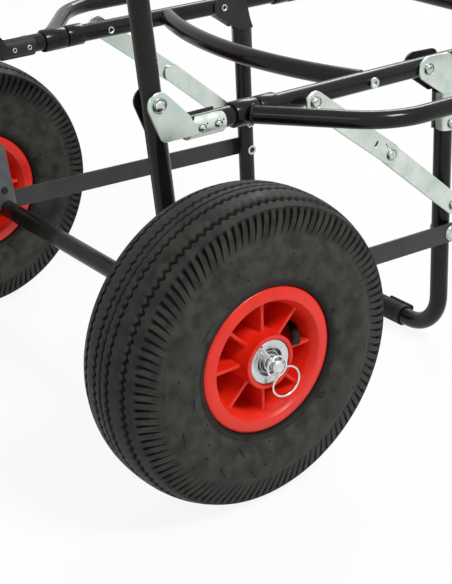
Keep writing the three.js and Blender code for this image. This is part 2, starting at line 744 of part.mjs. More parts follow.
// Front leg: the U tube, its foot sleeve and the front cheeks
function frontLeg() {
  const group = new THREE.Group();
  const top = [railX, legTopY, legTopZ];
  const foot = [railX, legFootY, footSleeveRadius];
  const corners = [top, foot, [-foot[0], foot[1], foot[2]], [-top[0], top[1], top[2]]];
  const tube = sweep(roundedPath(corners, legBend), tubeRadius, tubeRadius - tubeWall);
  const holes = [
    ...holeThrough(frontRivet(), rivetShank + holeClearance),
    ...holeThrough(stayLowPin, pinShank + holeClearance),
    ...holeThrough(dragPin, pinShank + holeClearance),
  ];
  addTo(group, 'front_leg_tube', cut(tube, ...holes), 'black');

  const half = footSleeveLength / 2;
  const inner = tubeRadius + turningGap;
  const sleeve = turned([
    [-half, inner],
    [-half, footSleeveRadius],
    [half, footSleeveRadius],
    [half, inner],
    [-half, inner],
  ], tubeSides, legFootY, footSleeveRadius);
  const lips = [-1, 1].map((side) => {
    const start = side > 0 ? half - footLipLength : -half;
    const lipY = legFootY + inner + seatGap;
    return boxBetween(start, start + footLipLength, lipY - footLipThickness / 2,
      lipY + footLipThickness + footLipDepth / 2, footSleeveRadius + footLipThickness / 2,
      footSleeveRadius + footLipThickness / 2 + footLipHeight);
  });
  addTo(group, 'foot_sleeve', joined(sleeve, ...lips), 'rubber');

  addPair(group, 'front_cheek_outer', frontCheek(1), 'zinc');
  addPair(group, 'front_cheek_inner', frontCheek(-1), 'black');
  const sheetOut = cheekOuterX + cheekThickness + seatGap;
  const sheetIn = cheekInnerX - seatGap;
  const rivet = throughPin(frontRivet(), sheetIn, sheetOut, rivetShank, frontRivetHeadRadius, rivetHeadHeight);
  addPair(group, 'front_rivet', rivet, 'zinc');
  const pivot = throughPin(frontPivot, sheetIn, sheetOut, pinShank, pinHeadRadius, pinHeadHeight);
  addPair(group, 'front_pivot', pivot, 'zinc');

  // The drag bar's pin is fixed in the leg: its head stands clear of the bar's wide hole
  const headX = barX + barThickness + seatGap;
  const spacerX = outerFace + seatGap;
  const drag = throughPin(dragPin, innerFace - seatGap, headX, pinShank, dragHeadRadius, dragHeadHeight, [
    [spacerX, pinShank],
    [spacerX, dragSpacerRadius],
    [barX - seatGap, dragSpacerRadius],
    [barX - seatGap, pinShank],
  ]);
  addPair(group, 'drag_pin', drag, 'zinc');

  // The lower stay pin carries the lower link on a spacer
  const lowSpacerEnd = lowerLinkX - seatGap;
  const low = throughPin(stayLowPin, innerFace - seatGap, lowerLinkX + linkThickness + seatGap, pinShank,
    pinHeadRadius, pinHeadHeight, [
      [spacerX, pinShank],
      [spacerX, spacerRadius],
      [lowSpacerEnd, spacerRadius],
      [lowSpacerEnd, pinShank],
    ]);
  addPair(group, 'stay_low_pin', low, 'zinc');
  return group;
}

// A link outline between two side-view points with round ends
function linkOutline([y0, z0], [y1, z1], half) {
  const quarter = 90;
  const angle = THREE.MathUtils.radToDeg(Math.atan2(z1 - z0, y1 - y0));
  return [
    ...arcPoints([y1, z1], half, angle - quarter, angle + quarter, lobeSteps),
    ...arcPoints([y0, z0], half, angle + quarter, angle + quarter * 3, lobeSteps),
  ];
}

// Drag bars: an eye round the axle tube at the rear, a wide hole at the leg
function dragBars(parent) {
  const axle = [0, wheelRadius];
  const eye = plate(circlePoints(barEyeRadius, tubeSides).map((p) => [p.x, p.y + wheelRadius]), barX, barThickness);
  const strap = plate(linkOutline(axle, dragPin, barHalfWidth), barX, barThickness);
  const bore = rodX(tubeRadius + turningGap, 0, halfTrack, ...axle, tubeSides);
  const hole = rodX(pinShank + dragPinClearance, 0, halfTrack, ...dragPin, boltSides);
  addPair(parent, 'drag_bar', cut(joined(eye, strap), bore, hole), 'satin');
}

// The stay's middle point, a little above the straight line between its end pins
function stayMiddle() {
  const top = new THREE.Vector2(...stayTopPin);
  const along = new THREE.Vector2(...stayLowPin).sub(top).normalize();
  const up = new THREE.Vector2(-along.y, along.x);
  const middle = top.addScaledVector(along, stayReach).addScaledVector(up, stayRise);
  return [middle.x, middle.y];
}

// Upper stay links with the middle pin, and lower stay links
function stays(upperParent, lowerParent) {
  const middle = stayMiddle();
  const pinHole = pinShank + holeClearance;
  const slot = [0, 1].map((i) => stayTopPin[i] + (middle[i] - stayTopPin[i]) * slotShare);
  const upper = plate(linkOutline(stayTopPin, middle, linkHalfWidth), upperLinkX, linkThickness, [
    [...stayTopPin, pinHole],
    [...middle, pinHole],
    [...slot, rivetShank],
  ]);
  addPair(upperParent, 'stay_upper_link', upper, 'zinc');
  const lower = plate(linkOutline(middle, stayLowPin, linkHalfWidth), lowerLinkX, linkThickness, [
    [...middle, pinHole],
    [...stayLowPin, pinHole],
  ]);
  addPair(lowerParent, 'stay_lower_link', lower, 'zinc');

  // The middle pin is fixed in the upper link and stops short of the lower one
  const faceX = upperLinkX + linkThickness + seatGap;
  const middlePin = turned([
    [upperLinkX, 0],
    [upperLinkX, pinShank],
    [faceX, pinShank],
    [faceX, pinHeadRadius],
    [faceX + pinHeadHeight / 2, pinHeadRadius],
    [faceX + pinHeadHeight, pinHeadRadius / 2],
    [faceX + pinHeadHeight, 0],
  ], boltSides, ...middle);
  addPair(upperParent, 'stay_middle_pin', middlePin, 'zinc');

  const spacerX = outerFace + seatGap;
  const spacerEnd = upperLinkX - seatGap;
  const topPin = throughPin(stayTopPin, innerFace - seatGap, faceX, pinShank, pinHeadRadius, pinHeadHeight, [
    [spacerX, pinShank],
    [spacerX, spacerRadius],
    [spacerEnd, spacerRadius],
    [spacerEnd, pinShank],
  ]);
  return topPin;
}

// One wheel about its own middle plane, outer side towards +X
function wheelPieces() {
  const barrel = rimBarrelRadius + rimBarrelWall;
  const seat = rimFlangeOffset - rimBarrelWall;
  const recessX = hubOffset - hubRecess;
  const halfWeb = rimWeb / 2;
  const rimHalf = [
    [hubOffset, 0],
    [hubOffset, hubRadius],
    [halfWeb, hubRadius],
    [halfWeb, rimBarrelRadius],
    [ribOffset, rimBarrelRadius + rimBarrelWall / 2],
    [rimLipOffset, rimLipRadius],
    [rimFlangeOffset, rimFlangeRadius],
    [seat, rimFlangeRadius],
    [seat, barrel],
  ];
  const flip = (points) => points.map(([x, radius]) => [-x, radius]).reverse();
  const rimProfile = [...flip(rimHalf).reverse(), ...[...rimHalf].reverse()];
  const ribs = Array.from({ length: ribCount / 2 }, (_, i) => {
    const reach = rimBarrelRadius + rimBarrelWall / 3;
    const blade = boxBetween(-ribOffset, ribOffset, -ribThickness / 2, ribThickness / 2, -reach, reach);
    return blade.rotateX((Math.PI * 2 * i) / ribCount);
  });
  const bore = rodX(bearingRadius + seatGap, -halfTrack, halfTrack, 0, 0, wheelSides / 2);
  const mouth = rodX(bearingFlangeRadius + turningGap, recessX, halfTrack, 0, 0, wheelSides / 2);
  const stemRoom = valveRod(valveStemRadius + seatGap * 2, stemRoomShares);
  const rim = cut(joined(turned(rimProfile, wheelSides), ...ribs), bore, mouth, stemRoom);

  // The tyre's section: places across are shares of its half width, heights are shares of its height
  const beadRadius = rimFlangeRadius + beadGap;
  const beadSeat = barrel + beadGap;
  const beadX = seat - beadGap;
  const height = wheelRadius - beadRadius;
  const place = ([acrossShare, upShare]) => [tyreHalfWidth * acrossShare, beadRadius + height * upShare];
  const lining = ([acrossShare, upShare]) => [tyreHalfWidth * acrossShare - tyreWall, beadRadius + height * upShare];
  const rightHalf = [
    ...tyreOutsideShares.map(place),
    [rimFlangeOffset + beadLap, beadRadius],
    [beadX, beadRadius],
    [beadX, beadSeat],
    [beadX - tyreWall, beadSeat],
    ...tyreLiningShares.map(lining),
    place(liningCrownShares),
  ];
  const profile = [...rightHalf, ...flip(rightHalf).slice(1, -1), rightHalf[0]];
  const tyre = turned(profile, wheelSides);

  const airSteps = 10;
  const [tubeWidthShare, tubeHeightShare, tubeCentreShare] = airTubeShares;
  const airTube = Array.from({ length: airSteps + 1 }, (_, i) => {
    const angle = (Math.PI * 2 * i) / airSteps;
    const up = tubeCentreShare + Math.sin(angle) * tubeHeightShare;
    return [-Math.cos(angle) * tyreHalfWidth * tubeWidthShare, beadRadius + height * up];
  });
  const stem = valveRod(valveStemRadius, stemShares);
  const tip = valveRod(valveTipRadius, tipShares);
  const innerTube = joined(turned(airTube, innerTubeSides), stem, tip);
  const cap = cut(valveRod(valveCapRadius, capShares), valveRod(valveTipRadius + seatGap, capBoreShares));

  const flangeX = recessX + seatGap;
  const flangeFace = flangeX + bearingFlangeThickness;
  const collarEnd = hubOffset + bearingCollarProud;
  const bearing = turned([
    [-hubOffset, axleRodRadius + seatGap],
    [-hubOffset, bearingRadius],
    [flangeX, bearingRadius],
    [flangeX, bearingFlangeRadius],
    [flangeFace, bearingFlangeRadius],
    [flangeFace, bearingCollarRadius + bearingCollarSlope],
    [collarEnd, bearingCollarRadius],
    [collarEnd, bearingCollarRadius - bearingCollarSlope],
    [flangeX, bushRadius],
    [collarEnd, bushRadius],
    [collarEnd, axleRodRadius + seatGap],
    [-hubOffset, axleRodRadius + seatGap],
  ], tubeSides);
  return { rim, tyre, innerTube, cap, bearing };
}

// A rod along the valve's line, between two shares of the way from its base to its end
function valveRod(radius, [fromShare, toShare]) {
  const place = (x, r) => new THREE.Vector3(x, r * Math.cos(valveAngle), r * Math.sin(valveAngle));
  const base = place(valveBaseOffset, rimBarrelRadius + valveBaseSink);
  const reach = place(ribOffset + valveEndProud, rimBarrelRadius - valveEndDrop).sub(base);
  const length = reach.length() * (toShare - fromShare);
  const rod = new THREE.CylinderGeometry(radius, radius, length, boltSides);
  rod.applyQuaternion(new THREE.Quaternion().setFromUnitVectors(new THREE.Vector3(0, 1, 0), reach.clone().normalize()));
  const middle = base.addScaledVector(reach, (fromShare + toShare) / 2);
  return rod.translate(middle.x, middle.y, middle.z);
}

function wheels(nearParent, farParent) {
  const pieces = wheelPieces();
  const names = { rim: 'rim', tyre: 'tyre', innerTube: 'inner_tube', cap: 'valve_cap', bearing: 'hub_bearing' };
  const looks = { rim: 'red', tyre: 'rubber', innerTube: 'rubber', cap: 'rubber', bearing: 'zinc' };
  for (const [key, label] of Object.entries(names)) {
    const near = pieces[key].clone().translate(halfTrack, 0, wheelRadius);
    addTo(nearParent, `wheel_${label}_near`, near, looks[key]);
    addTo(farParent, `wheel_${label}_far`, mirrored(near), looks[key]);
  }
}

// Ring cotter: a leg through the axle, a small ring that goes once round the axle's end, and a pull ring
// that drops back to the leg's plane. The small ring turns one way and the pull ring the other.
function ringCotter() {
  const points = [];
  const place = (along, across, out) => {
    const y = along * Math.cos(cotterLeanAngle) - across * Math.sin(cotterLeanAngle);
    const z = along * Math.sin(cotterLeanAngle) + across * Math.cos(cotterLeanAngle);
    points.push(new THREE.Vector3(halfTrack + cotterOffset + out, y, wheelRadius + z));
  };
  [-cotterLegBack, 0, cotterSmallRing * cotterExitShare].forEach((along) => place(along, 0, 0));
  for (let i = 1; i <= cotterSteps; i += 1) {
    const angle = (Math.PI * 2 * i) / cotterSteps;
    place(cotterSag + cotterSmallRing * Math.cos(angle), -cotterSmallRing * Math.sin(angle),
      cotterStart + ((cotterRise - cotterStart) * i) / cotterSteps);
  }
  const meeting = cotterSag + cotterSmallRing;
  for (let i = 1; i <= cotterSteps; i += 1) {
    const angle = Math.PI + (Math.PI * 2 * pullRingShare * i) / cotterSteps;
    const across = cotterBigRing * Math.sin(angle);
    const dropped = cotterDrop * Math.min(1, i / (cotterSteps * pullDropShare));
    place(meeting + cotterBigRing * (1 + Math.cos(angle)), across, cotterRise - dropped + across * pullTiltShare);
  }
  const tangents = points.map((point, i) => {
    const before = points[Math.max(i - 1, 0)];
    const after = points[Math.min(i + 1, points.length - 1)];
    return after.clone().sub(before).normalize();
  });
  return sweep(new StationPath(points, tangents), wireRadius, 0, holeSides);
}

const frameGroup = mainFrame();
footPlates(frameGroup);
const cotterGroups = [new THREE.Group(), new THREE.Group()];
const cotter = ringCotter();
addTo(cotterGroups[0], 'ring_cotter_near', cotter, 'zinc');
addTo(cotterGroups[1], 'ring_cotter_far', mirrored(cotter), 'zinc');

const platformGroup = platform();
const guardGroup = new THREE.Group();
guards(guardGroup);
const legGroup = frontLeg();
const barGroup = new THREE.Group();
dragBars(barGroup);
const upperStayGroup = new THREE.Group();
const lowerStayGroup = new THREE.Group();
const topPin = stays(upperStayGroup, lowerStayGroup);
addPair(platformGroup, 'stay_top_pin', topPin, 'zinc');
const wheelGroups = [new THREE.Group(), new THREE.Group()];
wheels(...wheelGroups);

trolley.add(frameGroup, platformGroup, legGroup, barGroup, upperStayGroup, lowerStayGroup, guardGroup);
trolley.add(...wheelGroups, ...cotterGroups);
trolley.position.y = (wheelRadius - platformFrontY - tubeRadius) / 2;

export default trolley;
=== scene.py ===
# %% [markdown]
# # A folding fishing trolley
#
# This lesson dresses a trolley whose pieces were already built at their real size. It has two air-filled
# wheels on one axle, a leaning push frame, a platform of tube that folds up, a U-shaped front leg, flat
# drag bars, two-link stays and side guards. The built pieces arrive as plain faceted solids. Here each
# one gets its finish, and nearly all of them a smooth skin and their small details.

# %% Load the built frame
import bpy
import json
import math
import numpy as np
from mathutils import Matrix, Vector
from mathutils.geometry import tessellate_polygon


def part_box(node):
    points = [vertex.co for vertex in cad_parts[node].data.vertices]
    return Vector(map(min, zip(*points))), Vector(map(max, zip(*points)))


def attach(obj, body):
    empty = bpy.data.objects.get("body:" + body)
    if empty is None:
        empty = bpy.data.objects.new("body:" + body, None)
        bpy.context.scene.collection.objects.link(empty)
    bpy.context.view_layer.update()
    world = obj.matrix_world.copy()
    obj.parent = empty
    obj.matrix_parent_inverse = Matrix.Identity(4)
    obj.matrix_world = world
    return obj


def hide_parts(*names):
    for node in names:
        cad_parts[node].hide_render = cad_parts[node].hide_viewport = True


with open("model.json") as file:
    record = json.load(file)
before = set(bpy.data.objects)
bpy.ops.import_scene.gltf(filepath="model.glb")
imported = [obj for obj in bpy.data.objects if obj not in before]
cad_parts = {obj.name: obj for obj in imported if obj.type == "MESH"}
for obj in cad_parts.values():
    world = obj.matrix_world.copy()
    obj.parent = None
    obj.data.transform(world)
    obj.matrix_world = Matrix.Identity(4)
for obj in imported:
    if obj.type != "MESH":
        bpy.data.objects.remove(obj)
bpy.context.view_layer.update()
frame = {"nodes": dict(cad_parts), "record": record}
MM = 0.001
SIDES = ("near", "far")
print("pieces loaded:", len(frame["nodes"]))


# %% [markdown]
# ## Measure what was loaded
#
# Nothing new is placed by eye. The centre and size of each piece are read from its box, so the skins sit
# on the solids they stand for. The trolley is the same on both sides, so only the near side (+X) is
# measured and the far side is its mirror image.

# %% Read sizes from the boxes
def span(node):
    """Lowest and highest corner of a node, as two arrays."""
    low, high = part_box(node)
    return np.array(low, float), np.array(high, float)


def middle(node):
    """The middle of a node's box: half the sum of its two corners."""
    low, high = span(node)
    return (low + high) / 2


def at(y_mm):
    """World Y of a place given in millimetres ahead of the axle."""
    return AXLE_Y + y_mm * MM


tyre_low, tyre_high = span("wheel_tyre_near")
WHEEL = (tyre_low + tyre_high) / 2
AXLE_Y, AXLE_Z = WHEEL[1], WHEEL[2]
TYRE_R = (tyre_high[2] - tyre_low[2]) / 2
axle_low, axle_high = span("axle_tube")
TUBE_R = (axle_high[2] - axle_low[2]) / 2
RAIL_X = span("front_leg_tube")[1][0] - TUBE_R
RAIL_Z = middle("cross_tube")[2]
print("wheel radius", round(TYRE_R, 4), "rail x", round(RAIL_X, 4), "rail z", round(RAIL_Z, 4))


# %% [markdown]
# ## Grids of points
#
# Almost every piece is one of three surfaces. A turned piece carries a profile round an axis. A tube
# carries a circle along a path. A plate carries an outline through a thickness. All three are a grid of
# points, worked out as whole numpy arrays, so one function can number the quads of any of them.

# %% Faces of a grid
def grid_faces(rows, cols, wrap_rows=False, wrap_cols=False):
    """Quads of a rows by cols grid of points, numbered row by row.

    Quad (i, j) joins point i * cols + j to its neighbours to the right and below.
    """
    i = np.arange(rows if wrap_rows else rows - 1)
    j = np.arange(cols if wrap_cols else cols - 1)
    i, j = np.meshgrid(i, j, indexing="ij")
    below, right = (i + 1) % rows, (j + 1) % cols
    quads = [i * cols + j, i * cols + right, below * cols + right, below * cols + j]
    return np.stack(quads, axis=-1).reshape(-1, 4)


def turned_over(faces):
    """The same faces with their corners in the other order, so that they look the other way."""
    return [block[:, ::-1] for block in faces]


def capped(rows, cols):
    """Faces of a tube of points: the grid closed round, and one flat face over each end."""
    first = np.arange(cols)[None, :]
    return [grid_faces(rows, cols, wrap_cols=True), first[:, ::-1], (rows - 1) * cols + first]


def shell(points, faces):
    """A surface as plain arrays: its points, three numbers each, and its blocks of faces."""
    return np.asarray(points, float).reshape(-1, 3), [np.asarray(block) for block in faces]


def flipped(piece_shell):
    """The mirror image in X, with its faces turned to point outwards again."""
    points, faces = piece_shell
    return points * [-1, 1, 1], turned_over(faces)


print("a 3 by 4 grid has", len(grid_faces(3, 4)), "quads")


# %% [markdown]
# ## From arrays to a piece
#
# A mesh could be built face by face, but a tyre has a hundred thousand of them. So the arrays go in whole,
# by foreach_set. A piece then rides on the body that it moves with, and the plain solid that it stands for
# is hidden. Most pieces come in pairs, so one function makes the near one and its mirror image.

# %% Make meshes and pieces
def mesh_from(name, shells, sharp=35):
    """One mesh of several shells: the points are laid end to end, and each shell's faces count on from
    where its points start. Edges that turn by more than sharp degrees stay crisp."""
    counts, loops, points, start = [], [], [], 0
    for pts, faces in shells:
        points.append(pts)
        for block in faces:
            counts.append(np.full(len(block), block.shape[1]))
            loops.append((block + start).ravel())
        start += len(pts)
    points, counts, loops = (np.concatenate(parts) for parts in (points, counts, loops))
    mesh = bpy.data.meshes.new(name)
    mesh.vertices.add(len(points))
    mesh.vertices.foreach_set("co", points.ravel())
    mesh.loops.add(len(loops))
    mesh.loops.foreach_set("vertex_index", loops.astype(np.int32))
    mesh.polygons.add(len(counts))
    mesh.polygons.foreach_set("loop_start", np.concatenate([[0], np.cumsum(counts)[:-1]]).astype(np.int32))
    mesh.update(calc_edges=True)
    mesh.validate()
    mesh.shade_smooth()
    mesh.set_sharp_from_angle(angle=math.radians(sharp))
    return mesh


def add_piece(name, shells, material, body, stands_for=(), sharp=35):
    """An object made of the shells, with its finish and its body. The solids that it stands for are hidden.
    """
    obj = bpy.data.objects.new(name, mesh_from(name, shells, sharp))
    bpy.context.scene.collection.objects.link(obj)
    obj.data.materials.append(material)
    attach(obj, body)
    if stands_for:
        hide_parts(*stands_for)
    return obj


def both_sides(stem, shells, material, body, stands_for="", sharp=35):
    """The piece for each side: the far one is the mirror image. A * in a name stands for the side."""
    pieces = []
    for side in SIDES:
        skins = shells if side == "near" else [flipped(s) for s in shells]
        nodes = (stands_for.replace("*", side),) if stands_for else ()
        rides = body.replace("*", side)
        pieces.append(add_piece(f"{stem}_{side}", skins, material, rides, nodes, sharp))
    return pieces


print("meshes before dressing:", len(bpy.data.meshes))


# %% [markdown]
# ## Turned pieces
#
# A lathe makes hubs, rivets, collars and grips, and the same idea draws them here. Only half a section is
# written down, as distance along the axis and distance from it, and a circle does the rest.

# %% Turn a profile
def unit(vectors):
    """Each vector divided by its own length."""
    vectors = np.asarray(vectors, float)
    return vectors / np.linalg.norm(vectors, axis=-1, keepdims=True)


def circle(count):
    """Angles once round, in even steps. The last step is left out, since it would meet the first."""
    return np.linspace(0, 2 * math.pi, count, endpoint=False)


def round_about(angle, across, other):
    """For each angle a, the direction cos a * across + sin a * other."""
    return np.cos(angle)[..., None] * across + np.sin(angle)[..., None] * other


def turned(profile, centre, segments=96, axis="x"):
    """Carries profile points (along, radius) round an axis through centre.

    Point (s, r) at angle a lies at centre + s * axis + r * (cos a, sin a) in the plane across the axis.
    A profile that starts or ends off the axis is closed there with a flat face.
    """
    profile = np.asarray(profile, float)
    angle = circle(segments)
    along = np.repeat(profile[:, :1], segments, axis=1)
    u, v = profile[:, 1:] * np.cos(angle), profile[:, 1:] * np.sin(angle)
    order = {"x": (along, u, v), "y": (v, along, u), "z": (u, v, along)}[axis]
    faces = turned_over(capped(len(profile), segments))
    if np.allclose(profile[0], profile[-1]):
        faces = faces[:1]
    return shell(np.stack(order, axis=-1) + np.asarray(centre, float), faces)


def both_ends(half):
    """A profile that is the same at both ends, from its outer half: end first, towards the middle."""
    half = np.asarray(half, float)
    return np.concatenate([half * [-1, 1], half[::-1]])


print("a turned disc has", len(turned([(0, 1), (1, 1)], (0, 0, 0))[0]), "points")


# %% [markdown]
# ## Bent tubes
#
# A tube bender makes straight runs joined by arcs of one radius, so a path is given by its corners and
# that radius. A circle is carried along it. Where an end stays open, the skin turns over the rim and runs
# a short way back inside, so that the end looks hollow and the surface is still closed.

# %% Bend and sweep a tube
RIM_EASE = 0.25


def bent_path(corners, bend, step=math.radians(6)):
    """A polyline with its corners rounded: straight runs joined by arcs of one radius.

    An arc starts bend * tan(turn / 2) before its corner. At angle a along it the point is
    start + bend * (sin a * into + (1 - cos a) * side).
    """
    corners = np.asarray(corners, float)
    stations, tangents = [corners[0]], [unit(corners[1] - corners[0])]
    for before, corner, after in zip(corners[:-2], corners[1:-1], corners[2:]):
        into, out = unit(corner - before), unit(after - corner)
        turn = math.acos(np.clip(into @ out, -1, 1))
        side = unit(out - into * (into @ out))
        start = corner - into * bend * math.tan(turn / 2)
        angle = np.linspace(0, turn, max(3, int(turn / step) + 2))
        stations.extend(start + bend * (np.sin(angle)[:, None] * into + (1 - np.cos(angle))[:, None] * side))
        tangents.extend(round_about(angle, into, side))
    stations.append(corners[-1])
    tangents.append(unit(corners[-1] - corners[-2]))
    return np.array(stations), np.array(tangents)


def tube(path, radius, normal, sides=40, wall=None, depth=0.02):
    """Carries a circle along a flat path whose plane has the given normal.

    At each station the circle lies across the tangent: point = station + r (cos a * normal + sin a * side).
    With a wall, the ends are open, and the skin runs back inside by the depth.
    """
    stations, tangents = path
    radii = np.full(len(stations), radius)
    if wall:
        lip, bore = wall * RIM_EASE, radius - wall
        start, end, ahead, behind = stations[0], stations[-1], tangents[0], tangents[-1]
        head = [start + ahead * depth, start, start, start + ahead * lip]
        tail = [end - behind * lip, end, end, end - behind * depth]
        stations = np.concatenate([head, stations[1:-1], tail])
        tangents = np.concatenate([[ahead] * 4, tangents[1:-1], [behind] * 4])
        radii = np.concatenate([[bore, bore, radius - lip, radius], radii[1:-1],
                                [radius, radius - lip, bore, bore]])
    side = unit(np.cross(unit(normal), tangents))
    ring = round_about(circle(sides), unit(normal), side[:, None, :])
    points = stations[:, None, :] + radii[:, None, None] * ring
    return shell(points, turned_over(capped(len(stations), sides)))


print("a square bend has", len(bent_path([(0, 0, 0), (0, 1, 0), (0, 1, 1)], 0.1)[0]), "stations")


# %% [markdown]
# ## Flat plates
#
# Flat bar and sheet are cut to an outline. Four copies of the outline are stacked through the thickness,
# and the outer two are drawn in a little, because a cut edge is never quite sharp. Holes are outlines too,
# and the flat faces are filled with triangles round them.

# %% Cut a plate
def signed_area(loop):
    """Half the sum of x * next y - next x * y: above zero where the loop runs anticlockwise."""
    x, y = loop[:, 0], loop[:, 1]
    return 0.5 * float(np.sum(x * np.roll(y, -1) - np.roll(x, -1) * y))


def arc(centre, radius, start, end, steps=12):
    """Points on a circle about (y, z), from one angle to another, in degrees."""
    angle = np.radians(np.linspace(start, end, steps + 1))
    return np.column_stack([centre[0] + radius * np.cos(angle), centre[1] + radius * np.sin(angle)])


def plate(outline, x0, x1, holes=(), bevel=0.35 * MM):
    """An outline in the side view, as (y, z) in metres, made thick from x0 to x1 with eased edges.

    Four rings of each loop are stacked across X. The first and last are drawn in by the bevel, along the
    direction that lies square to the line between a point's two neighbours.
    """
    loops = [np.asarray(loop, float) for loop in (outline, *holes)]
    loops = [loop if (signed_area(loop) < 0) == (k > 0) else loop[::-1] for k, loop in enumerate(loops)]
    points, faces, starts, total = [], [], [], 0
    layers = ((x0, 1), (x0 + bevel, 0), (x1 - bevel, 0), (x1, 1))
    for loop in loops:
        ahead = np.roll(loop, -1, axis=0) - np.roll(loop, 1, axis=0)
        inward = unit(np.stack([-ahead[:, 1], ahead[:, 0]], axis=1))
        for x, drawn in layers:
            points.append(np.column_stack([np.full(len(loop), x), loop + inward * bevel * drawn]))
        faces.append(grid_faces(len(layers), len(loop), wrap_cols=True) + total)
        starts.append(total)
        total += len(layers) * len(loop)
    points = np.concatenate(points)
    triangles = np.array(tessellate_polygon([[Vector((*p, 0)) for p in loop] for loop in loops]))
    lookup = np.concatenate([start + np.arange(len(loop)) for start, loop in zip(starts, loops)])
    jump = np.concatenate([np.full(len(loop), (len(layers) - 1) * len(loop)) for loop in loops])
    bottom, top = lookup[triangles], (lookup + jump)[triangles]
    a, b, c = (points[bottom[:, k]] for k in range(3))
    facing = (np.cross(b - a, c - a)[:, 0] > 0)[:, None]
    bottom = np.where(facing, bottom[:, ::-1], bottom)
    top = np.where(facing, top, top[:, ::-1])
    return shell(points, faces + [bottom, top])


print("a unit circle's area comes to", round(signed_area(arc((0, 0), 1, 0, 360, 90)), 2))


# %% [markdown]
# ## Shared effects
#
# Real finishes are never one flat colour. Some effects come back in most of them, so each is a node group
# that is built once. Mottle drifts a colour between two tones in soft clouds. Fine grain gives a height
# for the Bump node: a fine noise for rubber, cast plastic or sprayed paint. The third paints shade into
# plated metal: it darkens the sides that look down and back. Nodes are laid out by one short helper, which
# gives each input a value, or links it to the output of another node.

# %% Helpers for shader nodes
# A Mix node has sockets of one name for every kind of data, so they are picked by number
NUMBER_A, NUMBER_B, COLOUR_A, COLOUR_B, COLOUR_OUT = 2, 3, 6, 7, 2
BLACK, WHITE = (0, 0, 0, 1), (1, 1, 1, 1)


def feed(tree, node, inputs):
    """Gives each named input its value, or links it where the value is another node's output."""
    for label, value in inputs.items():
        if isinstance(value, bpy.types.NodeSocket):
            tree.links.new(value, node.inputs[label])
        else:
            node.inputs[label].default_value = value


def add_node(tree, kind, inputs=None, **settings):
    """A new shader node with its settings made first, then its inputs fed."""
    made = tree.nodes.new("ShaderNode" + kind)
    for name, value in settings.items():
        setattr(made, name, value)
    feed(tree, made, inputs or {})
    return made


def blend(tree, share, first, second, **settings):
    """The colour first * (1 - share) + second * share."""
    mix = add_node(tree, "Mix", data_type="RGBA", **settings)
    feed(tree, mix, {"Factor": share, COLOUR_A: first, COLOUR_B: second})
    return mix.outputs[COLOUR_OUT]


def new_group(name, inputs, outputs):
    """An empty node group with its sockets: inputs are (label, kind, value), outputs (label, kind)."""
    group = bpy.data.node_groups.new(name, "ShaderNodeTree")
    for label, kind, value in inputs:
        socket = group.interface.new_socket(label, in_out="INPUT", socket_type=kind)
        socket.default_value = value
    for label, kind in outputs:
        group.interface.new_socket(label, in_out="OUTPUT", socket_type=kind)
    return group, group.nodes.new("NodeGroupInput").outputs, group.nodes.new("NodeGroupOutput")


def object_noise(group, scale, detail):
    """Noise between 0 and 1 that is fixed to the piece, because it reads Object coordinates."""
    place = add_node(group, "TexCoord").outputs["Object"]
    noise = add_node(group, "TexNoise", {"Detail": detail, "Scale": scale, "Vector": place})
    return noise.outputs["Fac"]


print("node helpers ready; groups so far:", len(bpy.data.node_groups))


# %% [markdown]
# The three groups follow. Each is a handful of nodes, and its sockets carry the words that a finish is
# described by, so a finish can be changed without opening the group.

# %% Build the mottle, grain and painted shade groups
def build_mottle():
    """Blends Tone A into Tone B by a mask: noise stretched so that Low becomes 0 and High becomes 1."""
    group, given, sink = new_group(
        "Mottle",
        [("Tone A", "NodeSocketColor", (0.1, 0.1, 0.1, 1)),
         ("Tone B", "NodeSocketColor", (0.2, 0.2, 0.2, 1)), ("Scale", "NodeSocketFloat", 30.0),
         ("Low", "NodeSocketFloat", 0.35), ("High", "NodeSocketFloat", 0.65)],
        [("Color", "NodeSocketColor"), ("Mask", "NodeSocketFloat")])
    noise = object_noise(group, given["Scale"], 4)
    spread = add_node(group, "MapRange", {"Value": noise, "From Min": given["Low"],
                                          "From Max": given["High"]})
    mask = spread.outputs["Result"]
    feed(group, sink, {"Color": blend(group, mask, given["Tone A"], given["Tone B"]), "Mask": mask})
    return group


def build_grain():
    """A height: fine noise * (1 - Soft share) + coarser noise * Soft share."""
    group, given, sink = new_group(
        "Fine grain",
        [("Scale", "NodeSocketFloat", 900.0), ("Soft scale", "NodeSocketFloat", 60.0),
         ("Soft share", "NodeSocketFloat", 0.3)],
        [("Height", "NodeSocketFloat")])
    fine, soft = object_noise(group, given["Scale"], 2), object_noise(group, given["Soft scale"], 3)
    mix = add_node(group, "Mix", {"Factor": given["Soft share"], NUMBER_A: fine, NUMBER_B: soft})
    feed(group, sink, {"Height": mix.outputs[0]})
    return group


# Down, to the rear and a little to the far side: a surface that looks this way gets the most painted shade
SHADED_SIDE = (-0.4, -0.57, -0.72)
SHADE_FROM, SHADE_TO = 0.05, 0.5


def build_facing_shade():
    """Painted shade: blends a colour to black by Depth * w, where w rises from 0 to 1 as the normal turns to
    SHADED_SIDE.
    """
    group, given, sink = new_group(
        "Painted facing shade", [("Color", "NodeSocketColor", (0.6, 0.6, 0.6, 1)), ("Depth", "NodeSocketFloat", 0.7)],
        [("Color", "NodeSocketColor")])
    place = add_node(group, "TexCoord")
    facing = add_node(group, "VectorMath", operation="DOT_PRODUCT")
    feed(group, facing, {0: place.outputs["Normal"], 1: SHADED_SIDE})
    weight = add_node(group, "MapRange", {"Value": facing.outputs["Value"], "From Min": SHADE_FROM,
                                          "From Max": SHADE_TO})
    dark = add_node(group, "Math", {0: weight.outputs["Result"], 1: given["Depth"]}, operation="MULTIPLY")
    feed(group, sink, {"Color": blend(group, dark.outputs[0], given["Color"], BLACK)})
    return group


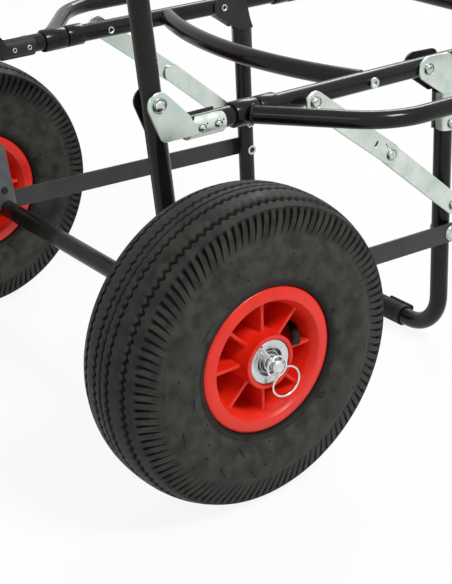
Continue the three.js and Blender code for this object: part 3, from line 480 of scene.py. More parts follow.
MOTTLE, GRAIN, FACING_SHADE = build_mottle(), build_grain(), build_facing_shade()
print("shared groups:", MOTTLE.name, GRAIN.name, FACING_SHADE.name)


# %% [markdown]
# ## Finishes
#
# One maker function lays out the same short chain for each finish: mottle into the base colour, its mask
# into the roughness, grain into the bump. What differs is the numbers, and they are what a painter would
# call the finish: how dark, how shiny, how rough to the touch.

# %% A maker for finishes
def finish(name, tone_a, tone_b, cloud, rough, metal=0.0, coat=0.0, coat_rough=0.1, grain=(900, 60, 0.3),
           bump=0.1, lift=0.2 * MM, specular=0.5, cloud_range=(0.35, 0.65), facing_shade=0.0):
    """A material whose colour and roughness run between two values by one soft mask.

    cloud is the mottle's scale, and rough the roughness at its two ends. grain is the bump's fine scale,
    soft scale and soft share, and lift its height.
    """
    material = bpy.data.materials.new(name)
    material.use_nodes = True
    tree = material.node_tree
    tint = add_node(tree, "Group", node_tree=MOTTLE)
    feed(tree, tint, {"Tone A": (*tone_a, 1), "Tone B": (*tone_b, 1), "Scale": cloud,
                      "Low": cloud_range[0], "High": cloud_range[1]})
    colour = tint.outputs["Color"]
    # Painted shade: the sides that face down and back are darkened
    if facing_shade:
        shaded_colour = add_node(tree, "Group", {"Depth": facing_shade, "Color": colour}, node_tree=FACING_SHADE)
        colour = shaded_colour.outputs["Color"]
    polish = add_node(tree, "MapRange", {"To Min": rough[0], "To Max": rough[1],
                                         "Value": tint.outputs["Mask"]})
    surface = add_node(tree, "Group", node_tree=GRAIN)
    feed(tree, surface, dict(zip(("Scale", "Soft scale", "Soft share"), grain)))
    relief = add_node(tree, "Bump", {"Strength": bump, "Distance": lift,
                                     "Height": surface.outputs["Height"]})
    feed(tree, tree.nodes["Principled BSDF"], {
        "Metallic": metal, "Coat Weight": coat, "Coat Roughness": coat_rough, "Specular IOR Level": specular,
        "Base Color": colour, "Roughness": polish.outputs["Result"], "Normal": relief.outputs["Normal"]})
    return material


print("materials before the finishes:", len(bpy.data.materials))


# %% [markdown]
# The tubes are gloss black under a clear coat. The drag bars are a satin black that is slightly grey, and
# the inner sheet a darker one. The zinc is a cool grey metal that varies from piece to piece. The tyre's
# rubber is a warm dark grey with almost no shine, and the rim a strong red plastic, coloured right
# through.

# %% The trolley's finishes
TUBE_PAINT = finish("Gloss black paint", (0.006, 0.006, 0.005), (0.011, 0.011, 0.009), 25, (0.2, 0.3),
                    coat=0.22, coat_rough=0.06, grain=(260, 45, 0.5), bump=0.14, specular=0.1)
BAR_PAINT = finish("Satin bar paint", (0.024, 0.024, 0.026), (0.038, 0.037, 0.039), 40, (0.4, 0.52),
                   grain=(500, 80, 0.4), bump=0.15, specular=0.35)
SHEET_BLACK = finish("Black sheet paint", (0.010, 0.010, 0.010), (0.018, 0.018, 0.018), 60, (0.35, 0.48),
                     grain=(500, 90, 0.4), bump=0.15, specular=0.3)
# The three zinc finishes carry painted shade on the sides that face down and back
ZINC = finish("Zinc plate", (0.50, 0.60, 0.56), (0.70, 0.75, 0.68), 55, (0.22, 0.4), metal=0.9,
              grain=(700, 120, 0.6), bump=0.22, facing_shade=0.7)
HUB_ZINC = finish("Hub zinc", (0.50, 0.53, 0.54), (0.68, 0.70, 0.69), 90, (0.22, 0.36), metal=0.9,
                  grain=(700, 120, 0.6), bump=0.2, facing_shade=0.6)
RIVET_ZINC = finish("Rivet zinc", (0.42, 0.46, 0.44), (0.62, 0.66, 0.62), 200, (0.16, 0.3), metal=0.95,
                    grain=(900, 200, 0.6), bump=0.15, facing_shade=0.85)
# A darker copy of the zinc for the foot plates: painted shade, since they stand in shadow
SHADED_ZINC = finish("Zinc plate in painted shade", (0.09, 0.097, 0.10), (0.15, 0.155, 0.155), 70, (0.4, 0.55), metal=0.8,
                   grain=(600, 100, 0.5), bump=0.25)
STEEL = finish("Bright steel", (0.58, 0.59, 0.58), (0.76, 0.77, 0.76), 160, (0.16, 0.3), metal=1.0,
               grain=(1200, 200, 0.4), bump=0.1)
RED = finish("Red moulded plastic", (0.66, 0.013, 0.004), (0.75, 0.024, 0.008), 35, (0.3, 0.42),
             grain=(1200, 70, 0.5), bump=0.1, specular=0.4)
TYRE = finish("Tyre rubber", (0.022, 0.0225, 0.0195), (0.046, 0.0465, 0.041), 85, (0.5, 0.68),
              grain=(1500, 120, 0.35), bump=0.3, specular=0.14, cloud_range=(0.38, 0.62))
RUBBER = finish("Black rubber", (0.009, 0.009, 0.009), (0.018, 0.018, 0.018), 80, (0.5, 0.65),
                grain=(1400, 150, 0.3), bump=0.2, specular=0.25)
DARK_RUBBER = finish("Valve rubber", (0.004, 0.004, 0.004), (0.008, 0.008, 0.008), 150, (0.45, 0.6),
                     grain=(1400, 150, 0.3), bump=0.2, specular=0.15)
FOAM = finish("Foam grip", (0.010, 0.010, 0.010), (0.02, 0.02, 0.02), 120, (0.85, 0.95),
              grain=(2200, 300, 0.4), bump=0.6, specular=0.2)
print("finishes:", len(bpy.data.materials))


# %% [markdown]
# The tyre's colour carries painted shade. It is darker beside the rim and on the tread, and darkest on the
# floors of the grooves, where light hardly reaches. The first could be painted by hand. Here it is read
# from the distance to the axle. The second comes from an attribute that the tyre's mesh will carry.

# %% Painted shade on the tyre
# Distance from the axle in millimetres, and the share of the colour that is kept there: painted shade
TYRE_SHADE_STOPS = ((60, 0.35), (65.6, 0.5), (68, 1.0), (101, 1.0), (104, 0.85), (122, 0.75))
# How much painted shade the floors of the grooves and slots get
GROOVE_SHADE = 0.8


def base_colour(material):
    """A material's shader, and the output that feeds its base colour."""
    shader = material.node_tree.nodes["Principled BSDF"]
    return shader, shader.inputs["Base Color"].links[0].from_socket


def shade_by_radius(material, stops):
    """Painted shade: multiplies the base colour by a tone that depends on the length of (y, z) from the axle
    line.
    """
    tree = material.node_tree
    shader, tint = base_colour(material)
    place = add_node(tree, "TexCoord")
    from_axle = add_node(tree, "VectorMath", operation="SUBTRACT")
    feed(tree, from_axle, {0: place.outputs["Object"], 1: (0, AXLE_Y, AXLE_Z)})
    flat = add_node(tree, "VectorMath", operation="MULTIPLY")
    feed(tree, flat, {0: from_axle.outputs["Vector"], 1: (0, 1, 1)})
    length = add_node(tree, "VectorMath", {0: flat.outputs["Vector"]}, operation="LENGTH")
    share = add_node(tree, "Math", {0: length.outputs["Value"], 1: TYRE_R}, operation="DIVIDE")
    ramp = add_node(tree, "ValToRGB", {"Fac": share.outputs[0]})
    while len(ramp.color_ramp.elements) < len(stops):
        ramp.color_ramp.elements.new(0.5)
    for element, (radius, tone) in zip(ramp.color_ramp.elements, stops):
        element.position = radius * MM / TYRE_R
        element.color = (tone, tone, tone, 1)
    feed(tree, shader, {"Base Color": blend(tree, 1, tint, ramp.outputs["Color"], blend_type="MULTIPLY")})


def shade_sunk(material, depth):
    """Painted shade: multiplies the base colour by 1 - depth * sunk, where sunk is 1 on the floor of a
    groove or slot.
    """
    tree = material.node_tree
    shader, tint = base_colour(material)
    sunk = add_node(tree, "Attribute", attribute_name="sunk")
    share = add_node(tree, "Math", {0: sunk.outputs["Fac"], 1: depth}, operation="MULTIPLY")
    feed(tree, shader, {"Base Color": blend(tree, share.outputs[0], tint, BLACK)})


# Painted shade beside the rim and on the tread, read from the distance to the axle
shade_by_radius(TYRE, TYRE_SHADE_STOPS)
# Painted shade on the floors of the grooves and slots
shade_sunk(TYRE, GROOVE_SHADE)
print("nodes in the tyre's finish:", len(TYRE.node_tree.nodes))


# %% [markdown]
# ## The tyre
#
# The tread has five grooves round the crown: a thin one in the middle and two wider ones on each side,
# all of them zigzag. Below the shoulder, short curved slots leave ridges between them, like the edge of a
# coin. All of that repeats 108 times round the tyre. So the grid has eight samples for each repeat, and
# they are bunched where a slot's edges are. Across the tyre, each groove brings its own columns of points.

# %% Columns across the tread
CROWN_DROP, CROWN_POWER = 7.2, 2.5
SHOULDER = (33.0, 121.6)
SHOULDER_STEP = 0.5
TREAD_SHIFT = 1.0
# Each groove: centre, half width, depth and zigzag reach, in millimetres from the tread's middle
GROOVES = ((-23.8, 2.0, 2.8, 1.3), (-8.0, 1.8, 2.6, 1.1), (0.0, 1.0, 1.6, 0.5),
           (8.0, 1.8, 2.6, 1.1), (23.8, 2.0, 2.8, 1.3))
GROOVE_LIP, LIP_DEPTH, FLOOR_SHARE = 0.45, 0.12, 0.62


def crown(x):
    """Radius of the tread at x: the full radius less a drop that grows steeply to the shoulders."""
    return TYRE_R / MM - CROWN_DROP * (np.abs(x) / SHOULDER[0]) ** CROWN_POWER


def tread_columns():
    """Columns across the tread: place, depth below the crown, and how far each follows the zigzag.

    Each groove has six: just outside it, at its lip and on its floor, and the same on its other side.
    """
    columns = [(-SHOULDER[0], 0, 0), (-SHOULDER[0] + SHOULDER_STEP, 0, 0)]
    for i, (centre, half, depth, reach) in enumerate(GROOVES):
        here = centre + TREAD_SHIFT
        if i:
            columns.append(((here + GROOVES[i - 1][0] + TREAD_SHIFT) / 2, 0, 0))
        for offset, share in ((-half - GROOVE_LIP, 0), (-half, LIP_DEPTH), (-half * FLOOR_SHARE, 1),
                              (half * FLOOR_SHARE, 1), (half, LIP_DEPTH), (half + GROOVE_LIP, 0)):
            columns.append((here + offset, depth * share, reach))
    columns += [(SHOULDER[0] - SHOULDER_STEP, 0, 0), (SHOULDER[0], 0, 0)]
    return np.array(columns)


print("columns across the tread:", len(tread_columns()))


# %% [markdown]
# The side of the tyre is one curve from the shoulder to the bead. In its first stretch the slots are cut,
# deepest near the shoulder and running out to nothing. Lower down, two fine mould lines and a rim line
# break up the smooth wall. The last points fold back inside, which closes the tyre.

# %% Rows down the side
SIDE_SHARE = np.array([0, 0.035, 0.09, 0.2, 0.34, 0.5, 0.66, 0.8, 0.92, 1.0])
SLOT_DEPTH = 2.7
SIDE_DEPTH = np.array([0, 0.55, 1.0, 1.0, 0.95, 0.85, 0.68, 0.45, 0.2, 0]) * SLOT_DEPTH
SLOT_END = (38.5, 103.0)
SIDE_BULGE = (0.7, 0.3)
# Below the slots: offset from the middle plane and radius, in millimetres
WALL_CURVE = ((38.75, 102.0), (39.9, 99.0), (40.5, 97.6), (40.35, 97.1), (40.8, 96.0), (41.5, 92.0),
              (41.55, 86.0), (41.1, 80.5), (40.4, 75.6), (40.0, 74.6), (40.1, 74.0), (39.5, 71.0),
              (38.6, 67.2), (38.1, 66.0), (38.4, 65.5), (38.0, 64.1), (37.2, 62.9), (35.0, 62.1),
              (33.4, 61.4), (32.7, 59.7))
INSIDE_CURVE = ((32.9, 56.5), (27.0, 56.5), (34.0, 90.0), (22.0, 114.0))


def side_rows(direction):
    """Rows from shoulder to bead on one side: offset, radius, slot depth, share down the slots.

    The slotted stretch is a straight line from the shoulder to the slots' end, plus a bulge that follows
    half a sine wave.
    """
    top = np.array(SHOULDER)
    bulge = np.sin(SIDE_SHARE * math.pi)[:, None] * np.array(SIDE_BULGE)
    slots = top + (np.array(SLOT_END) - top) * SIDE_SHARE[:, None] + bulge
    rows = [(x, r, d, s) for (x, r), d, s in zip(slots, SIDE_DEPTH, SIDE_SHARE)]
    rows += [(x, r, 0, 1) for x, r in WALL_CURVE + INSIDE_CURVE]
    return np.array(rows) * [direction, 1, 1, 1]


print("rows on each side:", len(side_rows(1)))


# %% [markdown]
# Every point of the tyre is now an offset, a radius and an angle. The angle of a sample may slide round
# the tyre from row to row, which is what bends the slots. A texture could draw the grooves more cheaply,
# but the outline of a tyre shows its tread, so here they are cut into the surface itself.

# %% Samples round the tyre
REPEATS = 108
SLOT_PHASES = np.array([0.00, 0.08, 0.26, 0.44, 0.52, 0.64, 0.76, 0.88])
SLOT_END_PHASES = np.array([0.19, 0.22, 0.27, 0.32, 0.35, 0.50, 0.67, 0.84])
SLOT_FLOOR = np.array([0, 1, 1, 1, 0, 0, 0, 0])
SLOT_LEAN, LEAN_POWER = 0.85, 1.6
SINK_SIDEWAYS, SINK_DOWN = 0.75, 0.66
ZIGZAG_EASE = 0.35
REPEAT = np.repeat(np.arange(REPEATS), len(SLOT_PHASES))
PHASE, END_PHASE, FLOOR = (np.tile(row, REPEATS) for row in (SLOT_PHASES, SLOT_END_PHASES, SLOT_FLOOR))


def zigzag(phase):
    """A triangle wave between -1 and 1, mixed with a sine so that its corners are eased."""
    wave = 2 * np.abs(2 * (phase % 1) - 1) - 1
    return np.sin(wave * math.pi / 2) * ZIGZAG_EASE + wave * (1 - ZIGZAG_EASE)


def turn_at(phase):
    """Angle round the tyre: the number of the repeat plus the phase, as a share of a full turn."""
    return (REPEAT + phase) / REPEATS * 2 * math.pi


def side_grid(rows):
    """Offset, radius, angle and sunk share of one side. A slot's floor sinks in along both directions."""
    x, r, depth, share = (rows[:, k][:, None] for k in range(4))
    turn = turn_at(PHASE * (1 - share) + END_PHASE * share + SLOT_LEAN * share ** LEAN_POWER)
    sink = depth * FLOOR
    return x - np.sign(x) * sink * SINK_SIDEWAYS, r - sink * SINK_DOWN, turn, sink / SLOT_DEPTH


def tread_grid(tread):
    """The same for the tread: offset = x + reach * zigzag, radius = crown there - depth."""
    x, depth, reach = (tread[:, k][:, None] for k in range(3))
    turn = np.repeat(turn_at(PHASE)[None, :], len(tread), axis=0)
    wander = x + reach * zigzag(PHASE)[None, :]
    return wander, crown(wander) - depth, turn, np.minimum(depth / 2, 1) + 0 * wander


def tyre_shell():
    """The whole tyre: point = wheel + (x, r cos turn, r sin turn), for far side, tread and near side."""
    near, far = side_rows(1)[1:], side_rows(-1)[1:][::-1]
    parts = [side_grid(far), tread_grid(tread_columns()), side_grid(near)]
    x, r, turn, sunk = (np.concatenate([part[k] for part in parts]) for k in range(4))
    points = np.stack([x, r * np.cos(turn), r * np.sin(turn)], axis=-1) * MM + WHEEL
    return shell(points, [grid_faces(*x.shape, wrap_rows=True, wrap_cols=True)]), sunk.ravel()


tyre_skin, sunk_share = tyre_shell()
tyres = both_sides("tyre", [tyre_skin], TYRE, "wheel_*", "wheel_tyre_*", sharp=40)
for tyre in tyres:
    tyre.data.attributes.new("sunk", "FLOAT", "POINT").data.foreach_set("value", sunk_share)
print("tyre points:", len(tyre_skin[0]))


# %% [markdown]
# Moulding leaves little vent nubs on the wall and a few thin hairs. Beside the rim, a thin ring of the
# darkest
# rubber fills the gap at the bead: painted shade in that gap. The nubs and hairs are scattered by a seeded
# generator, so that each run gives the same ones. A particle system could scatter them too, but a short loop
# says plainly where each one stands.

# %% Vent nubs, hairs and rings of painted shade at the bead
OUTWARD = np.array([1.0, 0, 0])
NUB = np.array([(-0.3, 0.85), (0.25, 0.8), (0.5, 0.55), (0.6, 0.15)]) * MM
NUB_CIRCLES, NUBS_EACH = (69.5, 78.5, 88.0, 99.5), 7
HAIR_COUNT, HAIR_CIRCLES, HAIR_LENGTH, HAIR_DROOP = 16, (66.0, 72.5, 90.0), 6.5, 2.0
WALL_ROWS = 17


def spoke(turn):
    """The direction (0, cos turn, sin turn), which points out from the axle."""
    return np.array([0, math.cos(turn), math.sin(turn)])


def wall_point(radius):
    """Offset of the tyre wall at a radius, read off the wall curve."""
    curve = np.array([SLOT_END, *WALL_CURVE[:WALL_ROWS]])[::-1]
    return float(np.interp(radius, curve[:, 1], curve[:, 0]))


def vent_shells(seed):
    """Small turned nubs on four circles of each wall, at even steps with a random shift."""
    rng = np.random.default_rng(seed)
    shells = []
    for side in (1, -1):
        for radius in NUB_CIRCLES:
            turns = (np.arange(NUBS_EACH) + rng.uniform(0, 0.5, NUBS_EACH)) / NUBS_EACH * 2 * math.pi
            for turn in turns:
                place = WHEEL + (spoke(turn) * radius + OUTWARD * side * wall_point(radius)) * MM
                points, faces = turned(NUB * [side, 1], place, 8)
                shells.append((points, turned_over(faces) if side > 0 else faces))
    return shells


def hair_shells(seed):
    """Thin curved hairs: point = root + t * length * out, less a droop that grows with t squared."""
    rng = np.random.default_rng(seed)
    shells = []
    for _ in range(HAIR_COUNT):
        turn, radius, side = rng.uniform(0, 2 * math.pi), rng.choice(HAIR_CIRCLES), rng.choice((1, -1))
        root = WHEEL + (spoke(turn) * radius + OUTWARD * side * (wall_point(radius) - 0.2)) * MM
        out = OUTWARD * side * 0.45 + spoke(turn + 1)
        t = np.linspace(0, 1, 5)[:, None]
        stations = root + (out * t * HAIR_LENGTH + np.array([0, 0, -1]) * t ** 2 * HAIR_DROOP) * MM
        hair = stations, unit(np.gradient(stations, axis=0))
        shells.append(tube(hair, 0.4 * MM, np.cross(out, (0, 0, 1)), sides=5))
    return shells


# The ring at the bead, in the darkest rubber: painted shade in the gap between tyre and rim
bead = np.array([(34.0, 60.9), (35.4, 61.0), (36.4, 61.5), (37.1, 62.8), (34.0, 62.8), (34.0, 60.9)])
bead_shade_rings = [turned(bead * MM, WHEEL, 128), turned(bead[::-1] * [-MM, MM], WHEEL, 128)]
nubs, hairs = vent_shells(3), hair_shells(5)
both_sides("tyre_vents_and_shade_rings", nubs + hairs + bead_shade_rings, DARK_RUBBER, "wheel_*")
print("nubs:", len(nubs), "hairs:", len(hairs))


# %% [markdown]
# ## The rim
#
# The rim is one red moulding: a flange that holds the bead, a barrel, a thin web, a hub tube, and eight
# ribs between hub and barrel on each side. The flange and hub are turned. A rib is a short wall with a
# round front edge, and its foot widens where it meets the web, as moulded ribs do.

# %% Rim profile and ribs
RIB_COUNT = 8
# Radius and offset of the front half of the section; the back half is its mirror image
RIM_FRONT = ((12.6, 37.2), (18.7, 37.2), (18.75, 39.2), (19.2, 39.5), (21.6, 39.5), (22.15, 39.1),
             (22.25, 38.0), (22.9, 5.5), (24.5, 3.0), (41.5, 3.0), (43.6, 5.0), (44.5, 20.0), (45.4, 29.0),
             (46.6, 31.6), (48.4, 34.3), (49.6, 36.6), (50.3, 37.35), (51.4, 37.45), (55.0, 37.1),
             (58.4, 36.5), (60.0, 35.7), (60.6, 34.8), (60.5, 33.7), (59.3, 33.2), (50.5, 32.8),
             (48.3, 31.0))
# Half width of a rib and its height above the middle plane, from its foot to its round front edge
RIB_SECTION = ((2.9, 3.2), (2.2, 4.2), (1.75, 6.5), (1.5, 28.2), (1.3, 29.4), (0.7, 29.95), (0.0, 30.0))
# Distance from the axle, and how much wider than its section the rib is there
RIB_REACH, RIB_FLARE = (21.8, 23.0, 34.0, 44.2, 46.0), (1.5, 1.12, 1.0, 1.1, 1.4)


def rim_body():
    """The turned part: the front half of the section, its mirror image, and back to the start."""
    front = np.array(RIM_FRONT)[:, ::-1]
    return turned(np.concatenate([front, front[::-1] * [-1, 1], front[:1]]) * MM, WHEEL, 192)


def rib(turn, side):
    """A section carried out along a spoke: point = reach * spoke + width * flare * across + height * X."""
    half = np.array(RIB_SECTION)
    section = np.concatenate([half, half[::-1][1:] * [-1, 1]])[None]
    reach, flare = (np.array(row)[:, None, None] for row in (RIB_REACH, RIB_FLARE))
    across = spoke(turn + math.pi / 2)
    points = (reach * spoke(turn) + section[:, :, :1] * flare * across + section[:, :, 1:] * side * OUTWARD)
    faces = capped(len(RIB_REACH), section.shape[1])
    return shell(WHEEL + points * MM, faces if side > 0 else turned_over(faces))


ribs = [rib(2 * math.pi * k / RIB_COUNT, side) for side in (1, -1) for k in range(RIB_COUNT)]
both_sides("rim", [rim_body(), *ribs], RED, "wheel_*", "wheel_rim_*")
print("ribs on each rim:", len(ribs))


# %% [markdown]
# ## Hub and valve
#
# The hub's zinc disc has a raised collar round a dark recess, and the bush stands in the middle of it. A
# rubber valve with a small cap leans out between two ribs. It is turned like the hub, but about a line
# that leans, so its profile is given as shares of that line.

# %% Hub disc and valve
HUB_PROFILE = ((-39.4, 5.3), (-39.4, 12.0), (37.0, 12.0), (37.3, 17.9), (37.6, 18.3), (38.2, 18.3),
               (38.55, 17.9), (38.6, 12.4), (38.4, 11.8), (37.6, 11.4), (34.2, 11.2), (33.8, 10.8),
               (33.8, 9.9), (36.9, 9.6), (37.6, 9.2), (37.6, 8.5), (37.0, 8.2), (34.8, 8.0), (34.6, 7.5),
               (39.6, 7.2), (40.3, 6.9), (40.3, 5.9), (39.8, 5.3), (-39.4, 5.3))
VALVE_TURN = math.radians(11)
VALVE_FOOT, VALVE_TIP = (9.0, 46.0), (34.0, 30.5)
STEM_PROFILE = ((0, 5.2), (0.2, 5.0), (0.28, 3.4), (0.7, 3.1), (1, 3.1))
CAP_PROFILE = ((0, 3.3), (0.04, 3.7), (0.5, 3.85), (0.86, 3.75), (0.97, 3.3), (1.0, 2.3))


def valve_line(share):
    """A point on the valve's axis: foot + share * (tip - foot), each an offset and a radius."""
    foot, tip = np.array(VALVE_FOOT), np.array(VALVE_TIP)
    offset, radius = foot + (tip - foot) * share
    return WHEEL + (OUTWARD * offset + spoke(VALVE_TURN) * radius) * MM


def along_line(start, end, profile, segments=32):
    """Carries a profile of (share of the line, radius in mm) round the line from start to end.

    Point = start + share * (end - start) + radius * (cos a * across + sin a * other).
    """
    direction = unit(end - start)
    across = unit(np.cross(direction, (0, 0, 1)))
    ring = round_about(circle(segments), across, np.cross(direction, across))
    profile = np.array(profile)[:, :, None] * [[1], [MM]]
    points = start + profile[:, :1] * (end - start) + profile[:, 1:] * ring
    return shell(points, capped(len(profile), segments))


stem = along_line(valve_line(-0.15), valve_line(0.66), STEM_PROFILE)
cap = along_line(valve_line(0.6), valve_line(1.0), CAP_PROFILE)
hub = turned(np.array(HUB_PROFILE)[::-1] * MM, WHEEL, 96)
both_sides("hub", [hub], HUB_ZINC, "wheel_*", "wheel_hub_bearing_*")
both_sides("valve_stem", [stem], DARK_RUBBER, "wheel_*", "wheel_inner_tube_*")
both_sides("valve_cap", [cap], RUBBER, "wheel_*", "wheel_valve_cap_*")
print("valve tip at", np.round(valve_line(1.0), 4))


# %% [markdown]
# ## Ring cotters
#
# A ring cotter keeps each wheel on. It is one piece of spring wire that runs through the axle, once round
# its end, and out into a pull ring. A curve with a bevel could draw it. Here its path is worked out, so
# that the wire can be carried along it without a twist.

# %% Ring cotters
COTTER_ANGLE = math.radians(-58)
COTTER_X = WHEEL[0] + 43 * MM
WIRE_R = 0.95 * MM


def cotter_path():
    """Leg through the axle, one turn round its end, then most of a turn of the pull ring.

    Places are (along the leg, across it, outwards). The small ring turns one way and the pull ring the
    other, and they touch at one point, so the wire never doubles back.
    """
    small, large, sag, start, level, fall = 8.5, 12.8, 1.2, 1.6, 4.0, 4.2
    leg = np.linspace((-21.5, 0, 0), (6.4, 0, 0), 12)
    bridge = np.array([[8.0, -0.15, 0.3], [9.0, -0.8, 0.8], [9.4, -1.8, 1.3]])
    share = np.linspace(0, 1, 49)
    turn = 2 * math.pi * share
    climb = start + (level - start) * share
    ring = np.column_stack([sag + small * np.cos(turn), -small * np.sin(turn), climb])
    turn = math.pi + 2 * math.pi * 0.93 * share[1:]
    across = large * np.sin(turn)
    sunk = fall * np.sin(np.minimum(share[1:] / 0.3, 1) * math.pi / 2)
    pull = np.column_stack([sag + small + large * (1 + np.cos(turn)), across, level - sunk + across * 0.05])
    local = np.concatenate([leg, bridge, ring[3:], pull])
    frame_axes = np.stack([spoke(COTTER_ANGLE), spoke(COTTER_ANGLE + math.pi / 2), OUTWARD])
    return np.array([COTTER_X, AXLE_Y, AXLE_Z]) + local @ frame_axes * MM


def wire(points, radius, sides=12):
    """A round wire along any path: point = place + radius * (cos a * normal + sin a * side).

    Each normal is the one before it, less its part along the new tangent, so the wire never twists.
    """
    tangents = unit(np.gradient(points, axis=0))
    normals = [unit(np.cross(tangents[0], OUTWARD))]
    for tangent in tangents[1:]:
        normals.append(unit(normals[-1] - tangent * (normals[-1] @ tangent)))
    normals = np.array(normals)
    ring = round_about(circle(sides), normals[:, None], np.cross(tangents, normals)[:, None])
    return shell(points[:, None] + radius * ring, capped(len(points), sides))


cotter_line = cotter_path()
both_sides("cotter", [wire(cotter_line, WIRE_R)], STEEL, "cotter_*", "ring_cotter_*")
print("stations along the cotter:", len(cotter_line))


# %% [markdown]
# ## Tubes
#
# The push frame, platform and leg are round tube, bent cold and painted black. Each is a U: one sweep of
# a circle along three straight runs and two arcs. The leg and the push frame lean, so the normal of the
# plane that each lies in leans too.

# %% Push frame, platform and leg
PIPE_WALL = 1.5 * MM
FRAME_BEND, PLATFORM_BEND, LEG_BEND = 45 * MM, 45 * MM, 40 * MM
UPRIGHT_FOOT = AXLE_Z + 0.004
GRIP = middle("push_grip")
LEAN = (GRIP[1] - AXLE_Y) / (GRIP[2] - AXLE_Z)
# The leg's centre line at its foot and at its top
FOOT_Y, FOOT_Z = at(305.2), 10.5 * MM
LEG_TOP_Y, LEG_TOP_Z = at(298.5), 270 * MM
LEG_LEAN = (LEG_TOP_Y - FOOT_Y) / (LEG_TOP_Z - FOOT_Z)


def leg_y(z):
    """Y of the leg's centre line at a height: foot + lean * (z - foot height)."""
    return FOOT_Y + (z - FOOT_Z) * LEG_LEAN


def upright_y(z):
    """Y of the push frame's centre line at a height: axle + lean * (z - axle height)."""
    return AXLE_Y + (z - AXLE_Z) * LEAN


def loop_path(end, corner, bend):
    """A U: from one end along to a corner, across to the mirrored corner, and back."""
    end, corner, mirror = np.array(end), np.array(corner), np.array([-1, 1, 1])
    return bent_path([end, corner, corner * mirror, end * mirror], bend)


platform_low, platform_high = span("platform_tube")
platform_front = platform_high[1] - TUBE_R
frame_foot = (RAIL_X, upright_y(UPRIGHT_FOOT), UPRIGHT_FOOT)
frame_path = loop_path(frame_foot, (RAIL_X, GRIP[1], GRIP[2]), FRAME_BEND)
platform_rear = (RAIL_X, platform_low[1], RAIL_Z)
platform_path = loop_path(platform_rear, (RAIL_X, platform_front, RAIL_Z), PLATFORM_BEND)
leg_path = loop_path((RAIL_X, LEG_TOP_Y, LEG_TOP_Z), (RAIL_X, FOOT_Y, FOOT_Z), LEG_BEND)
add_piece("push_frame", [tube(frame_path, TUBE_R, (0, 1, -LEAN))], TUBE_PAINT, "main_frame",
          ("main_frame_tube",))
add_piece("platform_rails", [tube(platform_path, TUBE_R, (0, 0, 1), wall=PIPE_WALL)], TUBE_PAINT, "platform",
          ("platform_tube",))
add_piece("leg", [tube(leg_path, TUBE_R, (0, 1, -LEG_LEAN), wall=PIPE_WALL)], TUBE_PAINT, "front_leg",
          ("front_leg_tube",))
print("lean of the frame", round(math.degrees(math.atan(LEAN)), 1), "degrees")


# %% [markdown]
# The axle is a bright steel rod inside a painted tube. Both are turned. They are the same at both ends,
# so only one end's profile is written down.

# %% Axle tube and rod
TUBE_MOUTH = 7 * MM
TUBE_EASE = 0.4 * MM
ROD_R, ROD_TIP_R, ROD_CHAMFER = 5 * MM, 4 * MM, 1 * MM
ROD_SHOULDER = 6.6 * MM
axle_end, rod_end = axle_high[0], span("axle_rod")[1][0]
axle_profile = both_ends([(axle_end, TUBE_MOUTH), (axle_end, TUBE_R - TUBE_EASE),
                          (axle_end - TUBE_EASE, TUBE_R)])
rod_profile = both_ends([(rod_end, ROD_TIP_R), (rod_end - ROD_CHAMFER, ROD_R), (axle_end, ROD_R),
                         (axle_end, ROD_SHOULDER)])
axle_line = (0, AXLE_Y, AXLE_Z)
add_piece("axle_cover", [turned(axle_profile[::-1], axle_line, 40)], TUBE_PAINT, "main_frame",
          ("axle_tube",))
add_piece("axle", [turned(rod_profile[::-1], axle_line, 40)], STEEL, "main_frame", ("axle_rod",))
print("axle tube", round(2 * axle_end, 4), "rod", round(2 * rod_end, 4))


# %% [markdown]
# The cross tube bows to the rear. It is an arc of a circle through three known points, so its radius
# comes from its chord and its sag.

# %% Cross tube
CROSS_END_Y = at(204)
SAG = 31 * MM
CROSS_STATIONS = 41
cross_radius = (RAIL_X ** 2 + SAG ** 2) / (2 * SAG)
half_angle = math.asin((RAIL_X - TUBE_R * 0.6) / cross_radius)
angles = np.linspace(-half_angle, half_angle, CROSS_STATIONS)
centre_y = CROSS_END_Y - SAG + cross_radius
cross_path = (np.column_stack([cross_radius * np.sin(angles), centre_y - cross_radius * np.cos(angles),
                               np.full(CROSS_STATIONS, RAIL_Z)]),
              np.column_stack([np.cos(angles), np.sin(angles), np.zeros(CROSS_STATIONS)]))
add_piece("bowed_cross_tube", [tube(cross_path, TUBE_R, (0, 0, 1))], TUBE_PAINT, "platform",
          ("cross_tube",))
print("radius of the bow", round(cross_radius, 4))


# %% [markdown]
# ## Guards, sleeves and welds
#
# A guard is a thinner tube welded to two sleeves that turn on the rail. Beside each sleeve a fixed collar
# keeps it in place. A hand weld is a lumpy ring that runs round the smaller tube, so it is a torus whose
# thickness ripples.

# %% Rings and weld beads
def ring_profile(length, outer, inner, ease=0.8 * MM):
    """A ring's section: bore, end face, eased edge, outside, and the same back. It closes on its start."""
    end = [(0, inner), (0, outer - ease), (ease * 0.3, outer - ease * 0.3), (ease, outer)]
    return np.array(end + [(length - s, r) for s, r in end[::-1]] + end[:1])


def weld_bead(centre, axis, radius, thickness, ripples=26, wobble=0.22):
    """A torus whose thickness ripples as a hand weld does, round a circle across the axis.

    Point = centre + radial * (radius + thick * cos b) + axis * thick * sin b.
    """
    rows, cols = 120, 12
    axis = unit(axis)
    across = unit(np.cross(axis, (0, 0, 1) if abs(axis[2]) < 0.9 else (0, 1, 0)))
    a, b = circle(rows), circle(cols)[:, None]
    ripple = wobble * np.abs(np.sin(a * ripples / 2)) + 0.12 * np.sin(a * 3 + 1)
    thick = thickness * (1 + ripple)[:, None, None]
    radial = round_about(a, across, np.cross(axis, across))[:, None]
    points = centre + radial * (radius + thick * np.cos(b)) + axis * thick * np.sin(b)
    return shell(points, turned_over([grid_faces(rows, cols, wrap_rows=True, wrap_cols=True)]))


